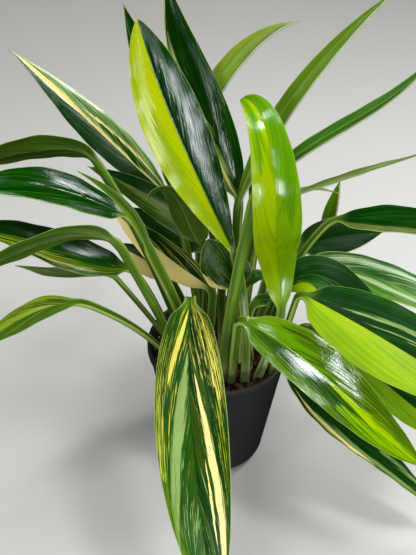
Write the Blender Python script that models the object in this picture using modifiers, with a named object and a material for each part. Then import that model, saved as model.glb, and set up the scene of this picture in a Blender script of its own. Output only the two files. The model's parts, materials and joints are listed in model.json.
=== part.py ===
"""Potted pothos: a long-leaved, variegated houseplant in a plain nursery pot.

The pot stands on z = 0 with its axis on the Z axis, and -Y is the side that
is looked at. Sizes below are in millimetres and become metres on the way into
Blender. Every leaf is one node, a grooved stalk that widens into a folded
blade, and is made from one open grid that is laid along its own route and then
given its thickness.
"""
import math
from typing import NamedTuple

import bmesh
import bpy
import numpy as np
from mathutils import Vector

MM = 0.001
GAP = 0.3

# Pot, from its outer rim diameter
RIM_RADIUS = 65.0
POT_HEIGHT = 134.0
BASE_RADIUS = 46.5
BASE_ROUNDING = 9.0
POT_WALL = 1.6
FLOOR_THICKNESS = 2.0
LIP_HEIGHT = 6.0
LIP_STEP = 1.4
LIP_ROUNDING = 0.8
POT_STEPS = 36
DRAIN_COUNT = 6
DRAIN_RADIUS = 4.5
DRAIN_RING = 29.0

# Soil
SOIL_TOP = 124.0
SOIL_RELIEF = 2.2
SOIL_RINGS = 4
SOIL_SIDES = 28
HOLE_DEPTH = 13.0
HOLE_SIDES = 6

# Crowns, the short stems that the stalks stand round
CROWN_RADIUS = 4.5
CROWN_BULGE = 0.8
CROWN_ROOT = 11.0
CROWN_SIDES = 12

# Stalks; the depth, the height of the grooved top over the route, the furthest
# reach from the route and the groove are shares of the width
ROOT_DEPTH = 10.0
STALK_WIDTH = 6.5
STALK_DEPTH = 0.56
STALK_TOP = 0.20
STALK_REACH = 0.64
STALK_GROOVE = 0.15
STALK_EDGE = 1.6
STALK_SEGMENTS = 5

# Blades; the midrib's width is a share of half the blade's
BLADE_THICKNESS = 0.8
MIDRIB_THICKNESS = 1.5
MIDRIB_WIDTH = 0.33
TIP_WIDTH = 1.6
JOINT_LENGTH = 16.0
RIPPLE_TURNS = 9.0
RIPPLE_FULL_FROM = 12.0
ROUTE_SAMPLES = 60
ACROSS = 4


class Crown(NamedTuple):
    """A short stem: its place on the soil and how far it stands out."""

    name: str
    place: tuple
    height: float


class Leaf(NamedTuple):
    """One leaf: where its stalk springs, bows and ends, and its blade.

    root is on the soil, bow is the point that the stalk is drawn towards, heel
    is where the blade begins, and spine holds the points that its midrib then
    runs through, the last being the tip. facing is where the upper face looks
    at mid blade and twist how far it turns from heel to tip, in degrees. widest
    is the share of its length where the blade is widest, and base is how
    slowly it opens there from its heel.
    """

    name: str
    root: tuple
    bow: tuple
    heel: tuple
    spine: tuple
    width: float
    facing: tuple
    color: tuple
    twist: float = 0.0
    fold: float = 18.0
    curl: float = 0.22
    wave: float = 1.2
    widest: float = 0.40
    base: float = 0.7
    stalk: float = STALK_WIDTH
    segments: int = 9


DARK = (0.010, 0.075, 0.008)
LIME = (0.300, 0.480, 0.005)
OLIVE = (0.130, 0.240, 0.010)
STREAKED = (0.150, 0.260, 0.030)
CREAM = (0.500, 0.450, 0.120)
PALE = (0.240, 0.340, 0.130)

CROWNS = (
    Crown("crown_front", (10, -27), 10),
    Crown("crown_right", (26, -24), 8),
    Crown("crown_left", (-27, -22), 9),
    Crown("crown_middle", (12, 30), 16),
    Crown("crown_far", (28, 46), 14),
)

LEAVES = (
    # Front
    Leaf("leaf_front_hanging", (-19, -31), (-24, -24, 196), (-25, -35, 218),
         ((-23, -110, 184), (-15, -165, 138), (2, -212, 43)),
         58, (0, -1, 0.3), STREAKED, segments=13, fold=14, wave=1.5, stalk=8, base=0.5),
    Leaf("leaf_front_lime", (13, -39), (14, -40, 178), (15, -52, 209),
         ((60, -80, 200), (101, -110, 181), (159, -145, 145)),
         49, (0, -0.3, 1), LIME, segments=13, stalk=8, base=0.55),
    Leaf("leaf_front_low", (48, -28), (52, -36, 165), (51, -46, 164),
         ((95, -67, 114), (141, -88, 85), (201, -110, 36)),
         42, (0.2, 0.1, 1), DARK, segments=12, base=0.5),
    Leaf("leaf_right_large", (50, -18), (62, -16, 180), (66, -15, 207),
         ((99, -35, 202), (145, -65, 193), (212, -105, 172)),
         70, (0, -0.5, 1), LIME, segments=13, stalk=7, widest=0.46, base=0.6),
    Leaf("leaf_right_under", (50, -6), (60, -8, 150), (78, -10, 166),
         ((112, -22, 146), (154, -40, 120), (213, -60, 78)),
         46, (0, -0.3, 1), DARK, widest=0.5),
    # Centre
    Leaf("leaf_middle_lime", (36, -33), (45, -28, 152), (54, -10, 179),
         ((43, -20, 265), (32, -34, 353), (22, -16, 377), (10, 6, 375)),
         40, (0.1, -1, 0.4), LIME, segments=13, stalk=7, widest=0.48, base=0.55),
    Leaf("leaf_tall_lime", (24, -38), (24, -31, 190), (12, -12, 240),
         ((-25, -12, 327), (-48, -15, 391), (-62, -20, 444)),
         48, (0, -1, 0.5), LIME, segments=13, stalk=7, widest=0.58, base=1.1),
    Leaf("leaf_tall_twin", (3, 8), (1, 10, 200), (-1, 12, 259),
         ((-37, 10, 337), (-73, 0, 446)),
         34, (0, -1, 0.4), DARK),
    Leaf("leaf_top_dark", (8, 18), (12, 30, 210), (14, 32, 266),
         ((-12, 35, 339), (-34, 33, 400), (-46, 25, 457)),
         36, (0.2, -1, 0.4), DARK, segments=12),
    Leaf("leaf_tall_stalk", (4, -38), (7, -38, 210), (25, -8, 300),
         ((58, 10, 329), (101, 15, 359), (149, 10, 417)),
         13, (0.2, 1, 0.1), OLIVE, segments=12, stalk=9),
    Leaf("leaf_speckled", (3, -4), (10, -7, 160), (15, -9, 201),
         ((1, -7, 230), (-12, -5, 254)),
         44, (-0.2, -1, 0.3), STREAKED, base=0.5),
    # Left
    Leaf("leaf_cream", (-9, 0), (-7, -1, 170), (-6, -2, 197),
         ((-48, 12, 222), (-92, 20, 263)),
         30, (0, -1, 0.3), CREAM),
    Leaf("leaf_left_glossy", (-24, -8), (-52, -17, 240), (-73, -30, 292),
         ((-103, -40, 315), (-129, -48, 329), (-195, -60, 330)),
         36, (0, -0.3, 1), DARK, segments=12, stalk=8, base=0.8),
    Leaf("leaf_spear", (-17, -14), (-41, -26, 215), (-57, -40, 267),
         ((-73, -45, 311), (-104, -55, 347)),
         10, (0.6, -1, 0.4), OLIVE, fold=40, wave=0, stalk=8),
    Leaf("leaf_left_high", (-29, 1), (-66, -8, 265), (-97, -10, 325),
         ((-102, -12, 335), (-134, -15, 341), (-212, -27, 341)),
         30, (0, 1, 0.5), OLIVE, segments=12, base=0.8),
    Leaf("leaf_upper_left", (-19, 33), (-28, 34, 220), (-45, 36, 267),
         ((-80, 38, 303), (-124, 38, 352), (-163, 34, 396)),
         34, (0.2, -0.6, 1), STREAKED, segments=12, base=0.8),
    Leaf("leaf_left_narrow", (-13, 19), (-12, 18, 190), (-14, 16, 232),
         ((-66, 20, 280), (-110, 18, 306)),
         26, (0.1, -1, 0.6), OLIVE),
    Leaf("leaf_curled", (-8, 10), (-10, 6, 190), (-13, 5, 239),
         ((-31, -1, 277), (-48, -7, 305), (-61, -9, 294)),
         36, (0.3, 0.8, 0.5), OLIVE),
    Leaf("leaf_behind_left", (-6, 36), (-7, 48, 180), (-12, 50, 198),
         ((-51, 52, 225), (-82, 52, 244)),
         28, (0.1, -1, 0.6), DARK),
    Leaf("leaf_left_wide", (-38, -4), (-53, -21, 200), (-71, -36, 245),
         ((-122, -48, 271), (-165, -56, 293), (-199, -60, 298)),
         44, (0, -0.1, 1), STREAKED, segments=12),
    Leaf("leaf_left_arched", (-34, -13), (-57, -42, 220), (-78, -62, 290),
         ((-93, -68, 302), (-127, -80, 304), (-200, -92, 271)),
         28, (0, 1, 0.6), OLIVE, segments=12, base=0.8),
    Leaf("leaf_left_small", (-43, 4), (-66, -10, 180), (-90, -25, 232),
         ((-129, -30, 234), (-166, -32, 243)),
         24, (0, 0.3, 1), PALE),
    Leaf("leaf_left_low", (-40, -20), (-63, -42, 190), (-107, -70, 238),
         ((-133, -80, 241), (-168, -92, 226), (-204, -105, 207)),
         25, (0, -0.1, 1), LIME, base=0.8),
    Leaf("leaf_left_inner", (-24, 20), (-31, 23, 160), (-45, 24, 186),
         ((-71, 24, 210), (-97, 24, 225)),
         24, (0, -1, 0.6), CREAM),
    # Right
    Leaf("leaf_right_dark", (43, 4), (48, 7, 160), (56, 8, 184),
         ((76, 11, 207), (111, 3, 197), (153, -18, 173)),
         37, (0, -0.6, 1), DARK, segments=12, fold=10, curl=0.12),
    Leaf("leaf_right_streaked", (48, 13), (58, 20, 175), (71, 28, 204),
         ((112, 32, 197), (160, 18, 190), (231, -6, 165)),
         44, (0, -0.2, 1), STREAKED, segments=12),
    Leaf("leaf_right_inner", (34, 25), (50, 46, 170), (69, 62, 191),
         ((92, 70, 199), (121, 82, 198), (157, 95, 193)),
         39, (0, -0.7, 1), DARK),
    Leaf("leaf_right_high", (41, 20), (62, 36, 205), (99, 60, 230),
         ((135, 50, 240), (171, 35, 246), (224, 10, 249)),
         36, (0, -0.2, 1), DARK, segments=12),
    Leaf("leaf_young_upright", (42, 30), (60, 65, 195), (99, 102, 174),
         ((105, 102, 214), (109, 100, 248)),
         14, (-0.5, -1, 0), LIME),
    Leaf("leaf_thin_arc", (20, 40), (28, 52, 190), (36, 60, 234),
         ((70, 75, 251), (106, 85, 243)),
         16, (0, 0.3, 1), PALE),
    Leaf("leaf_thin_right", (24, 24), (30, 34, 200), (34, 40, 251),
         ((81, 50, 273), (127, 50, 292), (170, 45, 314)),
         16, (0, 0.2, 1), PALE),
    # Top
    Leaf("leaf_top_right", (14, 3), (12, 6, 200), (11, 10, 276),
         ((26, 12, 326), (65, 15, 399), (116, 12, 459)),
         16, (0.6, 0.8, -0.2), OLIVE, segments=12),
    Leaf("leaf_top_middle", (5, 42), (-7, 61, 225), (-30, 54, 318),
         ((-4, 57, 369), (21, 57, 399), (52, 52, 416)),
         19, (0.5, 0.7, -0.3), OLIVE),
    # Small leaves inside the plant
    Leaf("leaf_inner_low", (30, -8), (26, -3, 150), (27, -2, 177),
         ((37, 2, 184), (47, 4, 182)),
         15, (0, -0.6, 1), DARK),
    Leaf("leaf_inner_arched", (19, -12), (20, 0, 170), (22, 4, 193),
         ((30, 5, 209), (46, 8, 204)),
         14, (0, -0.3, 1), DARK),
    # Back, hidden in the front view
    Leaf("leaf_back_left", (-17, 48), (-20, 66, 170), (-22, 74, 210),
         ((-34, 105, 240), (-40, 150, 225), (-40, 195, 180)),
         44, (0, 0.4, 1), DARK),
    Leaf("leaf_back_middle", (13, 50), (24, 60, 180), (35, 70, 215),
         ((46, 110, 238), (54, 150, 222), (62, 195, 172)),
         46, (0, 0.4, 1), STREAKED),
    Leaf("leaf_back_right", (35, 38), (48, 66, 200), (64, 88, 172),
         ((88, 116, 160), (106, 140, 136), (120, 165, 95)),
         40, (0.3, 0.3, 1), DARK),
)


def start_scene():
    """Remove what the scene holds and make the two collections."""
    for old in list(bpy.data.objects):
        bpy.data.objects.remove(old)
    plant = bpy.data.collections.new("potted_pothos")
    cutters = bpy.data.collections.new("cutters")
    bpy.context.scene.collection.children.link(plant)
    bpy.context.scene.collection.children.link(cutters)
    return plant, cutters


def finish(name, color, roughness):
    """A plain opaque material with one colour."""
    material = bpy.data.materials.new(name)
    material.use_nodes = True
    shader = material.node_tree.nodes["Principled BSDF"]
    shader.inputs["Base Color"].default_value = (*color, 1.0)
    shader.inputs["Roughness"].default_value = roughness
    material.diffuse_color = (*color, 1.0)
    return material


def add_object(name, mesh, collection, material=None):
    """An object of the mesh in the collection."""
    obj = bpy.data.objects.new(name, mesh)
    collection.objects.link(obj)
    if material:
        mesh.materials.append(material)
    return obj


def hide_cutter(obj):
    """Show a cutter as wire only and keep it out of renders."""
    obj.hide_render = True
    obj.display_type = "WIRE"


def cut(obj, cutters):
    """Subtract each cutter from the object."""
    for cutter in cutters:
        hide_cutter(cutter)
        modifier = obj.modifiers.new("hole", "BOOLEAN")
        modifier.operation = "DIFFERENCE"
        modifier.solver = "EXACT"
        modifier.object = cutter


def peg(name, start, end, radius, sides, collection):
    """A cylinder between two points, as a cutter."""
    axis = Vector(end) - Vector(start)
    made = bmesh.new()
    bmesh.ops.create_cone(made, cap_ends=True, segments=sides, radius1=radius * MM,
                          radius2=radius * MM, depth=axis.length * MM)
    mesh = bpy.data.meshes.new(name)
    made.to_mesh(mesh)
    made.free()
    obj = add_object(name, mesh, collection)
    obj.rotation_euler = axis.to_track_quat("Z", "Y").to_euler()
    obj.location = (Vector(start) + Vector(end)) * 0.5 * MM
    return obj


def profile_mesh(name, points):
    """An open line through (radius, height) points in the XZ plane."""
    made = bmesh.new()
    verts = [made.verts.new((r * MM, 0.0, z * MM)) for r, z in points]
    for first, second in zip(verts, verts[1:]):
        made.edges.new((first, second))
    mesh = bpy.data.meshes.new(name)
    made.to_mesh(mesh)
    made.free()
    return mesh


def turn(obj, steps):
    """Turn a profile into a round solid."""
    screw = obj.modifiers.new("turned", "SCREW")
    screw.steps = steps
    screw.render_steps = steps
    screw.use_merge_vertices = True
    screw.merge_threshold = 0.00001
    screw.use_smooth_shade = True


def wall_radius(height):
    """Outer radius of the tapered wall at a height."""
    return BASE_RADIUS + (RIM_RADIUS - LIP_STEP - BASE_RADIUS) * height / POT_HEIGHT


def build_pot(plant, cutters):
    """The tapered pot with its rolled lip and drain holes in the floor."""
    lip_foot = POT_HEIGHT - LIP_HEIGHT
    rounding = [
        (wall_radius(BASE_ROUNDING) - BASE_ROUNDING * (1 - math.cos(angle)),
         BASE_ROUNDING * (1 - math.sin(angle)))
        for angle in (math.radians(step) for step in (0, 22.5, 45, 67.5, 90))
    ]
    inner_foot = FLOOR_THICKNESS + BASE_ROUNDING - POT_WALL
    outside = [
        (RIM_RADIUS - LIP_ROUNDING, POT_HEIGHT),
        (RIM_RADIUS, POT_HEIGHT - LIP_ROUNDING),
        (RIM_RADIUS, lip_foot + LIP_ROUNDING),
        (wall_radius(lip_foot), lip_foot),
        *rounding,
        (0.0, 0.0),
    ]
    inside = [
        (0.0, FLOOR_THICKNESS),
        (wall_radius(inner_foot) - BASE_ROUNDING, FLOOR_THICKNESS),
        (wall_radius(inner_foot) - POT_WALL - BASE_ROUNDING * 0.3,
         FLOOR_THICKNESS + BASE_ROUNDING * 0.3),
        (wall_radius(inner_foot) - POT_WALL, inner_foot),
        (wall_radius(lip_foot) - POT_WALL, lip_foot),
        (RIM_RADIUS - LIP_STEP - POT_WALL, POT_HEIGHT - LIP_ROUNDING),
        (RIM_RADIUS - LIP_STEP - POT_WALL + LIP_ROUNDING, POT_HEIGHT),
    ]
    points = outside + inside
    points.append(points[0])
    pot = add_object("pot", profile_mesh("pot", points), plant,
                     finish("pot_plastic", (0.045, 0.045, 0.043), 0.45))
    turn(pot, POT_STEPS)
    drains = []
    for index in range(DRAIN_COUNT):
        angle = 2 * math.pi * index / DRAIN_COUNT
        x, y = DRAIN_RING * math.cos(angle), DRAIN_RING * math.sin(angle)
        drains.append(peg(f"drain_{index}", (x, y, -3), (x, y, FLOOR_THICKNESS + 3),
                          DRAIN_RADIUS, 12, cutters))
    cut(pot, drains)
    return pot


def unit(vector):
    """The vector at length one."""
    vector = np.asarray(vector, float)
    return vector / np.linalg.norm(vector)


def root_axis(leaf):
    """Where a stalk meets the soil and its direction there."""
    root = np.array([*leaf.root, SOIL_TOP], float)
    return root, unit(np.array(leaf.bow, float) - root)


def soil_height(x, y):
    """The soil's uneven top at a place."""
    return SOIL_TOP + SOIL_RELIEF * (
        0.5 * math.sin(x * 0.13 + 1.0) * math.cos(y * 0.11)
        + 0.3 * math.sin(x * 0.31 - y * 0.23) - 0.6)


def build_soil(plant, cutters):
    """The soil in the pot, with a plain hole for each stalk and crown."""
    foot = FLOOR_THICKNESS + BASE_ROUNDING
    made = bmesh.new()
    bmesh.ops.create_circle(made, cap_ends=False, segments=SOIL_SIDES,
                            radius=(wall_radius(SOIL_TOP) - POT_WALL - GAP * 2) * MM)
    rim = made.edges[:]
    ring = rim
    outer = wall_radius(SOIL_TOP) - POT_WALL - GAP * 2
    for step in range(1, SOIL_RINGS):
        grown = bmesh.ops.extrude_edge_only(made, edges=ring)["geom"]
        verts = [part for part in grown if isinstance(part, bmesh.types.BMVert)]
        scale = (SOIL_RINGS - step) / (SOIL_RINGS - step + 1)
        bmesh.ops.scale(made, vec=(scale, scale, 1), verts=verts)
        ring = [part for part in grown if isinstance(part, bmesh.types.BMEdge)]
    bmesh.ops.contextual_create(made, geom=ring)
    for vert in made.verts:
        near_wall = min(1.0, (outer - math.hypot(vert.co.x, vert.co.y) / MM) / 8)
        x, y = vert.co.x / MM, vert.co.y / MM
        vert.co.z = (SOIL_TOP + (soil_height(x, y) - SOIL_TOP) * near_wall) * MM
    bottom_radii = (
        (wall_radius(foot) - POT_WALL - 1.5, foot),
        (wall_radius(foot) - POT_WALL - BASE_ROUNDING, FLOOR_THICKNESS + GAP),
    )
    ring = rim
    radius = outer
    for next_radius, height in bottom_radii:
        grown = bmesh.ops.extrude_edge_only(made, edges=ring)["geom"]
        verts = [part for part in grown if isinstance(part, bmesh.types.BMVert)]
        scale = next_radius / radius
        bmesh.ops.scale(made, vec=(scale, scale, 1), verts=verts)
        for vert in verts:
            vert.co.z = height * MM
        radius = next_radius
        ring = [part for part in grown if isinstance(part, bmesh.types.BMEdge)]
    bmesh.ops.contextual_create(made, geom=ring)
    bmesh.ops.triangulate(made, faces=made.faces[:])
    bmesh.ops.recalc_face_normals(made, faces=made.faces[:])
    mesh = bpy.data.meshes.new("soil")
    made.to_mesh(mesh)
    made.free()
    soil = add_object("soil", mesh, plant, finish("potting_soil", (0.020, 0.012, 0.008), 0.95))
    holes = []
    for leaf in LEAVES:
        root, axis = root_axis(leaf)
        radius = (stalk_reach(leaf) + GAP) / math.cos(math.pi / HOLE_SIDES)
        holes.append(peg(f"hole_{leaf.name}", root - axis * HOLE_DEPTH,
                         root + axis * 8, radius, HOLE_SIDES, cutters))
    for crown in CROWNS:
        x, y = crown.place
        holes.append(peg(f"hole_{crown.name}", (x, y, SOIL_TOP - HOLE_DEPTH),
                         (x, y, SOIL_TOP + 8), CROWN_RADIUS + CROWN_BULGE + GAP * 2,
                         CROWN_SIDES, cutters))
    cut(soil, holes)
    return soil


def build_crown(crown, plant, material):
    """A short jointed stem that stands in its hole."""
    x, y = crown.place
    top = crown.height
    profile = [(0.0, top + 2.0), (CROWN_RADIUS * 0.6, top + 1.4), (CROWN_RADIUS, top)]
    for share in (0.7, 0.35):
        profile.append((CROWN_RADIUS, top * share + 1.5))
        profile.append((CROWN_RADIUS + CROWN_BULGE, top * share))
        profile.append((CROWN_RADIUS, top * share - 1.5))
    profile += [(CROWN_RADIUS, -CROWN_ROOT + 1), (CROWN_RADIUS - 1, -CROWN_ROOT),
                (0.0, -CROWN_ROOT)]
    obj = add_object(crown.name, profile_mesh(crown.name, profile), plant, material)
    turn(obj, CROWN_SIDES)
    obj.location = (x * MM, y * MM, SOIL_TOP * MM)
    return obj


def stalk_reach(leaf):
    """How far the stalk's section reaches from its route."""
    return STALK_REACH * leaf.stalk


def leaf_route(leaf):
    """Evenly spaced points along the stalk and the midrib.

    The buried end is straight, the stalk is a curve drawn towards its bow
    point, and the midrib is the one smooth curve through its points. The joint
    between the two is rounded over a short length.
    """
    root, axis = root_axis(leaf)
    bow, heel = np.array(leaf.bow, float), np.array(leaf.heel, float)
    steps = np.linspace(0, 1, ROUTE_SAMPLES)[:, None]
    stalk = (1 - steps) ** 2 * root + 2 * steps * (1 - steps) * bow + steps ** 2 * heel
    spine = np.array([leaf.heel, *leaf.spine], float)
    knots = np.concatenate([[0], np.cumsum(np.linalg.norm(np.diff(spine, axis=0), axis=1))])
    curve = np.polyfit(knots / knots[-1], spine, len(spine) - 1)
    blade = sum(row * steps ** power for power, row in enumerate(curve[::-1]))
    points = np.concatenate([stalk, blade[1:]])
    along = np.concatenate([[0], np.cumsum(np.linalg.norm(np.diff(points, axis=0), axis=1))])
    heel_at = along[ROUTE_SAMPLES - 1]
    even = np.linspace(0, along[-1], ROUTE_SAMPLES * 4)
    points = np.stack([np.interp(even, along, column) for column in points.T], 1)
    smooth = points.copy()
    reach = max(2, int(round(JOINT_LENGTH / 2 / (even[1] - even[0]))))
    for index in range(len(points)):
        span = min(reach, index, len(points) - 1 - index)
        smooth[index] = points[index - span:index + span + 1].mean(0)
    buried = root - axis * ROOT_DEPTH
    points = np.concatenate([[buried], smooth])
    along = np.concatenate([[0], np.cumsum(np.linalg.norm(np.diff(points, axis=0), axis=1))])
    return points, along, heel_at + ROOT_DEPTH


def carry_frame(points, start, facing):
    """Tangents and face normals along a route, turned no more than it bends."""
    tangents = np.gradient(points, axis=0)
    tangents /= np.linalg.norm(tangents, axis=1)[:, None]
    normals = np.zeros_like(points)
    first = np.array(facing, float)
    first -= tangents[start] * (first @ tangents[start])
    normals[start] = unit(first)
    for indices in (range(start + 1, len(points)), range(start - 1, -1, -1)):
        held = normals[start]
        for index in indices:
            held = unit(held - tangents[index] * (held @ tangents[index]))
            normals[index] = held
    return tangents, normals


def half_width(leaf, share):
    """Half the blade's width at a share of its length."""
    rise = leaf.base
    fall = rise * (1 - leaf.widest) / leaf.widest
    share = min(max(share, 0.0), 1.0)
    return leaf.width / 2 * ((share / leaf.widest) ** rise
                             * ((1 - share) / (1 - leaf.widest)) ** fall)


def stations(leaf, heel_at, total):
    """Distances along the route at which the leaf has a row of points."""
    stalk = ROOT_DEPTH + (heel_at - ROOT_DEPTH) * np.linspace(0, 1, STALK_SEGMENTS) ** 0.9
    shares = np.linspace(0, 1, leaf.segments + 1)[1:]
    shares = 0.5 * shares + 0.5 * (1 - np.cos(np.pi * shares)) / 2
    return np.concatenate([[0.0], stalk, heel_at + (total - heel_at) * shares])


def leaf_point(leaf, distance, side, route):
    """A point of the leaf's upper face, and how thick the leaf is there.

    side runs from -1 at one margin to 1 at the other.
    """
    points, along, heel_at, tangents, normals = route
    index = int(np.clip(np.searchsorted(along, distance), 1, len(along) - 1))
    mix = (distance - along[index - 1]) / (along[index] - along[index - 1])
    centre = points[index - 1] * (1 - mix) + points[index] * mix
    tangent = unit(tangents[index - 1] * (1 - mix) + tangents[index] * mix)
    normal = unit(normals[index - 1] * (1 - mix) + normals[index] * mix)
    share = (distance - heel_at) / (along[-1] - heel_at)
    turn_by = math.radians(leaf.twist) * (max(share, 0.0) - 0.5)
    across = np.cross(normal, tangent)
    normal, across = (normal * math.cos(turn_by) + across * math.sin(turn_by),
                      across * math.cos(turn_by) - normal * math.sin(turn_by))
    opening = min(max((distance - heel_at) / JOINT_LENGTH, 0.0), 1.0)
    opening = opening * opening * (3 - 2 * opening)
    blade_half = max(half_width(leaf, share), TIP_WIDTH / 2)
    half = leaf.stalk / 2 * (1 - opening) + blade_half * opening
    fold = math.radians(leaf.fold)
    phase = 2 * leaf.width + (1 if side > 0 else 0)
    ripple = leaf.wave * min(1.0, half / RIPPLE_FULL_FROM)
    ripple *= math.sin(RIPPLE_TURNS * share + phase) * side * side
    blade_lift = half * (abs(side) * math.sin(fold) - leaf.curl * side * side) + ripple
    stalk_lift = (STALK_TOP + STALK_GROOVE * side * side) * leaf.stalk
    out = half * side * (1 - opening + math.cos(fold) * opening)
    lift = stalk_lift * (1 - opening) + blade_lift * opening
    place = centre + across * out + normal * lift
    stalk_thick = STALK_EDGE + (STALK_DEPTH * leaf.stalk - STALK_EDGE) * (1 - side * side)
    rib = max(0.0, 1 - abs(side) / MIDRIB_WIDTH) * max(0.0, 1 - share)
    blade_thick = BLADE_THICKNESS + (MIDRIB_THICKNESS - BLADE_THICKNESS) * rib
    return place, stalk_thick * (1 - opening) + blade_thick * opening


def build_leaf(leaf, plant):
    """A leaf: a grid laid along its route, split in triangles, then thickened."""
    points, along, heel_at = leaf_route(leaf)
    middle = int(np.searchsorted(along, heel_at + (along[-1] - heel_at) * 0.5))
    tangents, normals = carry_frame(points, middle, leaf.facing)
    route = (points, along, heel_at, tangents, normals)
    rows = stations(leaf, heel_at, along[-1])
    made = bmesh.new()
    bmesh.ops.create_grid(made, x_segments=ACROSS, y_segments=len(rows) - 1, size=1.0)
    thickness = {}
    for vert in made.verts:
        row = int(round((vert.co.y + 1) / 2 * (len(rows) - 1)))
        place, thick = leaf_point(leaf, rows[row], vert.co.x, route)
        vert.co = Vector(place) * MM
        thickness[vert.index] = thick
    bmesh.ops.triangulate(made, faces=made.faces[:])
    mesh = bpy.data.meshes.new(leaf.name)
    made.to_mesh(mesh)
    made.free()
    obj = add_object(leaf.name, mesh, plant, finish(leaf.name, leaf.color, 0.35))
    thickest = max(thickness.values())
    group = obj.vertex_groups.new(name="thickness")
    for index, thick in thickness.items():
        group.add([index], thick / thickest, "REPLACE")
    shell = obj.modifiers.new("thickness", "SOLIDIFY")
    shell.thickness = thickest * MM
    shell.offset = 1.0
    shell.vertex_group = group.name
    shell.use_even_offset = False
    mesh.shade_smooth()
    return obj


def main():
    """Build the whole plant."""
    plant, cutters = start_scene()
    build_pot(plant, cutters)
    build_soil(plant, cutters)
    stem_green = finish("stem_green", (0.080, 0.140, 0.030), 0.5)
    for crown in CROWNS:
        build_crown(crown, plant, stem_green)
    for leaf in LEAVES:
        build_leaf(leaf, plant)


main()
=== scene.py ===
"""Looks of the potted pothos: long variegated leaves in a plain nursery pot.

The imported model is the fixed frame. Every leaf repeats the route and the form
of its solid from the same named values, with a fine grid that has pleats, a
grooved midrib and thin margins, and is coloured in its own coordinates: side,
from -1 at one margin to 1 at the other, and share, from 0 where the blade
starts to 1 at its tip. Sizes are in millimetres until they reach Blender.
"""
import json
import logging
import math
import random
from dataclasses import dataclass, field
from enum import Enum
from typing import Callable, Iterable, Sequence, Union

import bmesh
import bpy
import numpy as np
from mathutils import Matrix, Vector, noise


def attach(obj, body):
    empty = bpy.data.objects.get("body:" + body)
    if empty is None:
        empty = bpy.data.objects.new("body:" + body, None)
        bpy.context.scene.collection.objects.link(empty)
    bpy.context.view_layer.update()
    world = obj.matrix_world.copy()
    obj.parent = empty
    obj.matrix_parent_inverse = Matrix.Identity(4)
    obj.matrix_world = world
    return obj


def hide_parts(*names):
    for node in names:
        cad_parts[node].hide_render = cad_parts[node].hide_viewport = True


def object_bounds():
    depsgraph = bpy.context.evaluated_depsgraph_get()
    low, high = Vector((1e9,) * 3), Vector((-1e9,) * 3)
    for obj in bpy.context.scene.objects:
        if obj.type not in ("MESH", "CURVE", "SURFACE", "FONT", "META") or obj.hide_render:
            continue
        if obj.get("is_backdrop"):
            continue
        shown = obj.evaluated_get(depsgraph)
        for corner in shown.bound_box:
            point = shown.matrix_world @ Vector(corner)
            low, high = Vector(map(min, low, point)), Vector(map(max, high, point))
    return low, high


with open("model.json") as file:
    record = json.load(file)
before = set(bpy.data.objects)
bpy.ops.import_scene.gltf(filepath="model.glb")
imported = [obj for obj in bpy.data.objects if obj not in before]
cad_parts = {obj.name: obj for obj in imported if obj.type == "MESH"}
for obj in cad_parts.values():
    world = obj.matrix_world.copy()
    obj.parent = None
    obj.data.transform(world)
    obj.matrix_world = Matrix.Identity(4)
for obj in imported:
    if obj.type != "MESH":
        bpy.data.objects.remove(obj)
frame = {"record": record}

CAD_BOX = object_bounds()
MM = 0.001
SOIL_TOP = 124.0
# A leaf's line, in millimetres: how long its stalk takes to open, how deep it is buried
JOINT_LENGTH = 16.0
ROOT_DEPTH = 10.0
VEIN_ANGLE = math.radians(14)
# Points along that line, and rows and columns of the grid laid on it
CURVE_STEPS = 60
ROUTE_STEPS = 240
STALK_ROWS = 26
FEWEST_ROWS = 34
MOST_ROWS = 96
ROW_LENGTH = 2.6
WIDE_BLADE = 40
WIDE_COLUMNS = 16
NARROW_COLUMNS = 11
# A leaf's relief and thickness, in millimetres or as shares of its half width and its stalk
PLEAT_LENGTH = 27
PLEAT_DEPTH = 0.3
GROOVE_DEPTH = 0.3
GROOVE_REACH = 1.2
BLADE_THICKNESS = 0.75
RIB_THICKNESS = 0.75
MARGIN_THINNING = 0.45
RIB_REACH = 0.33
EDGE_THICKNESS = 0.5
STALK_DEPTH = 0.56
TIP_HALF = 0.3
# What sets one leaf's pattern off from the next
SEED_STEP = 3.7
# Streaks, flecks and hairlines: width across the veins and length in millimetres, seed, detail
VEIN_NOISES = ((22, 110, 0.0, 2), (7, 75, 3.1, 3), (2.4, 30, 5.7, 2))
# Specular levels, each for leaves whose roughness is below the first number
SPECULAR_BY_GLOSS = ((0.25, 0.65), (0.4, 0.22), (1.0, 0.1))
Triple = tuple[float, float, float]
Number = Union[float, "Value"]
Mesh = bmesh.types.BMesh
Material = bpy.types.Material
log = logging.getLogger("pothos")


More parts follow.
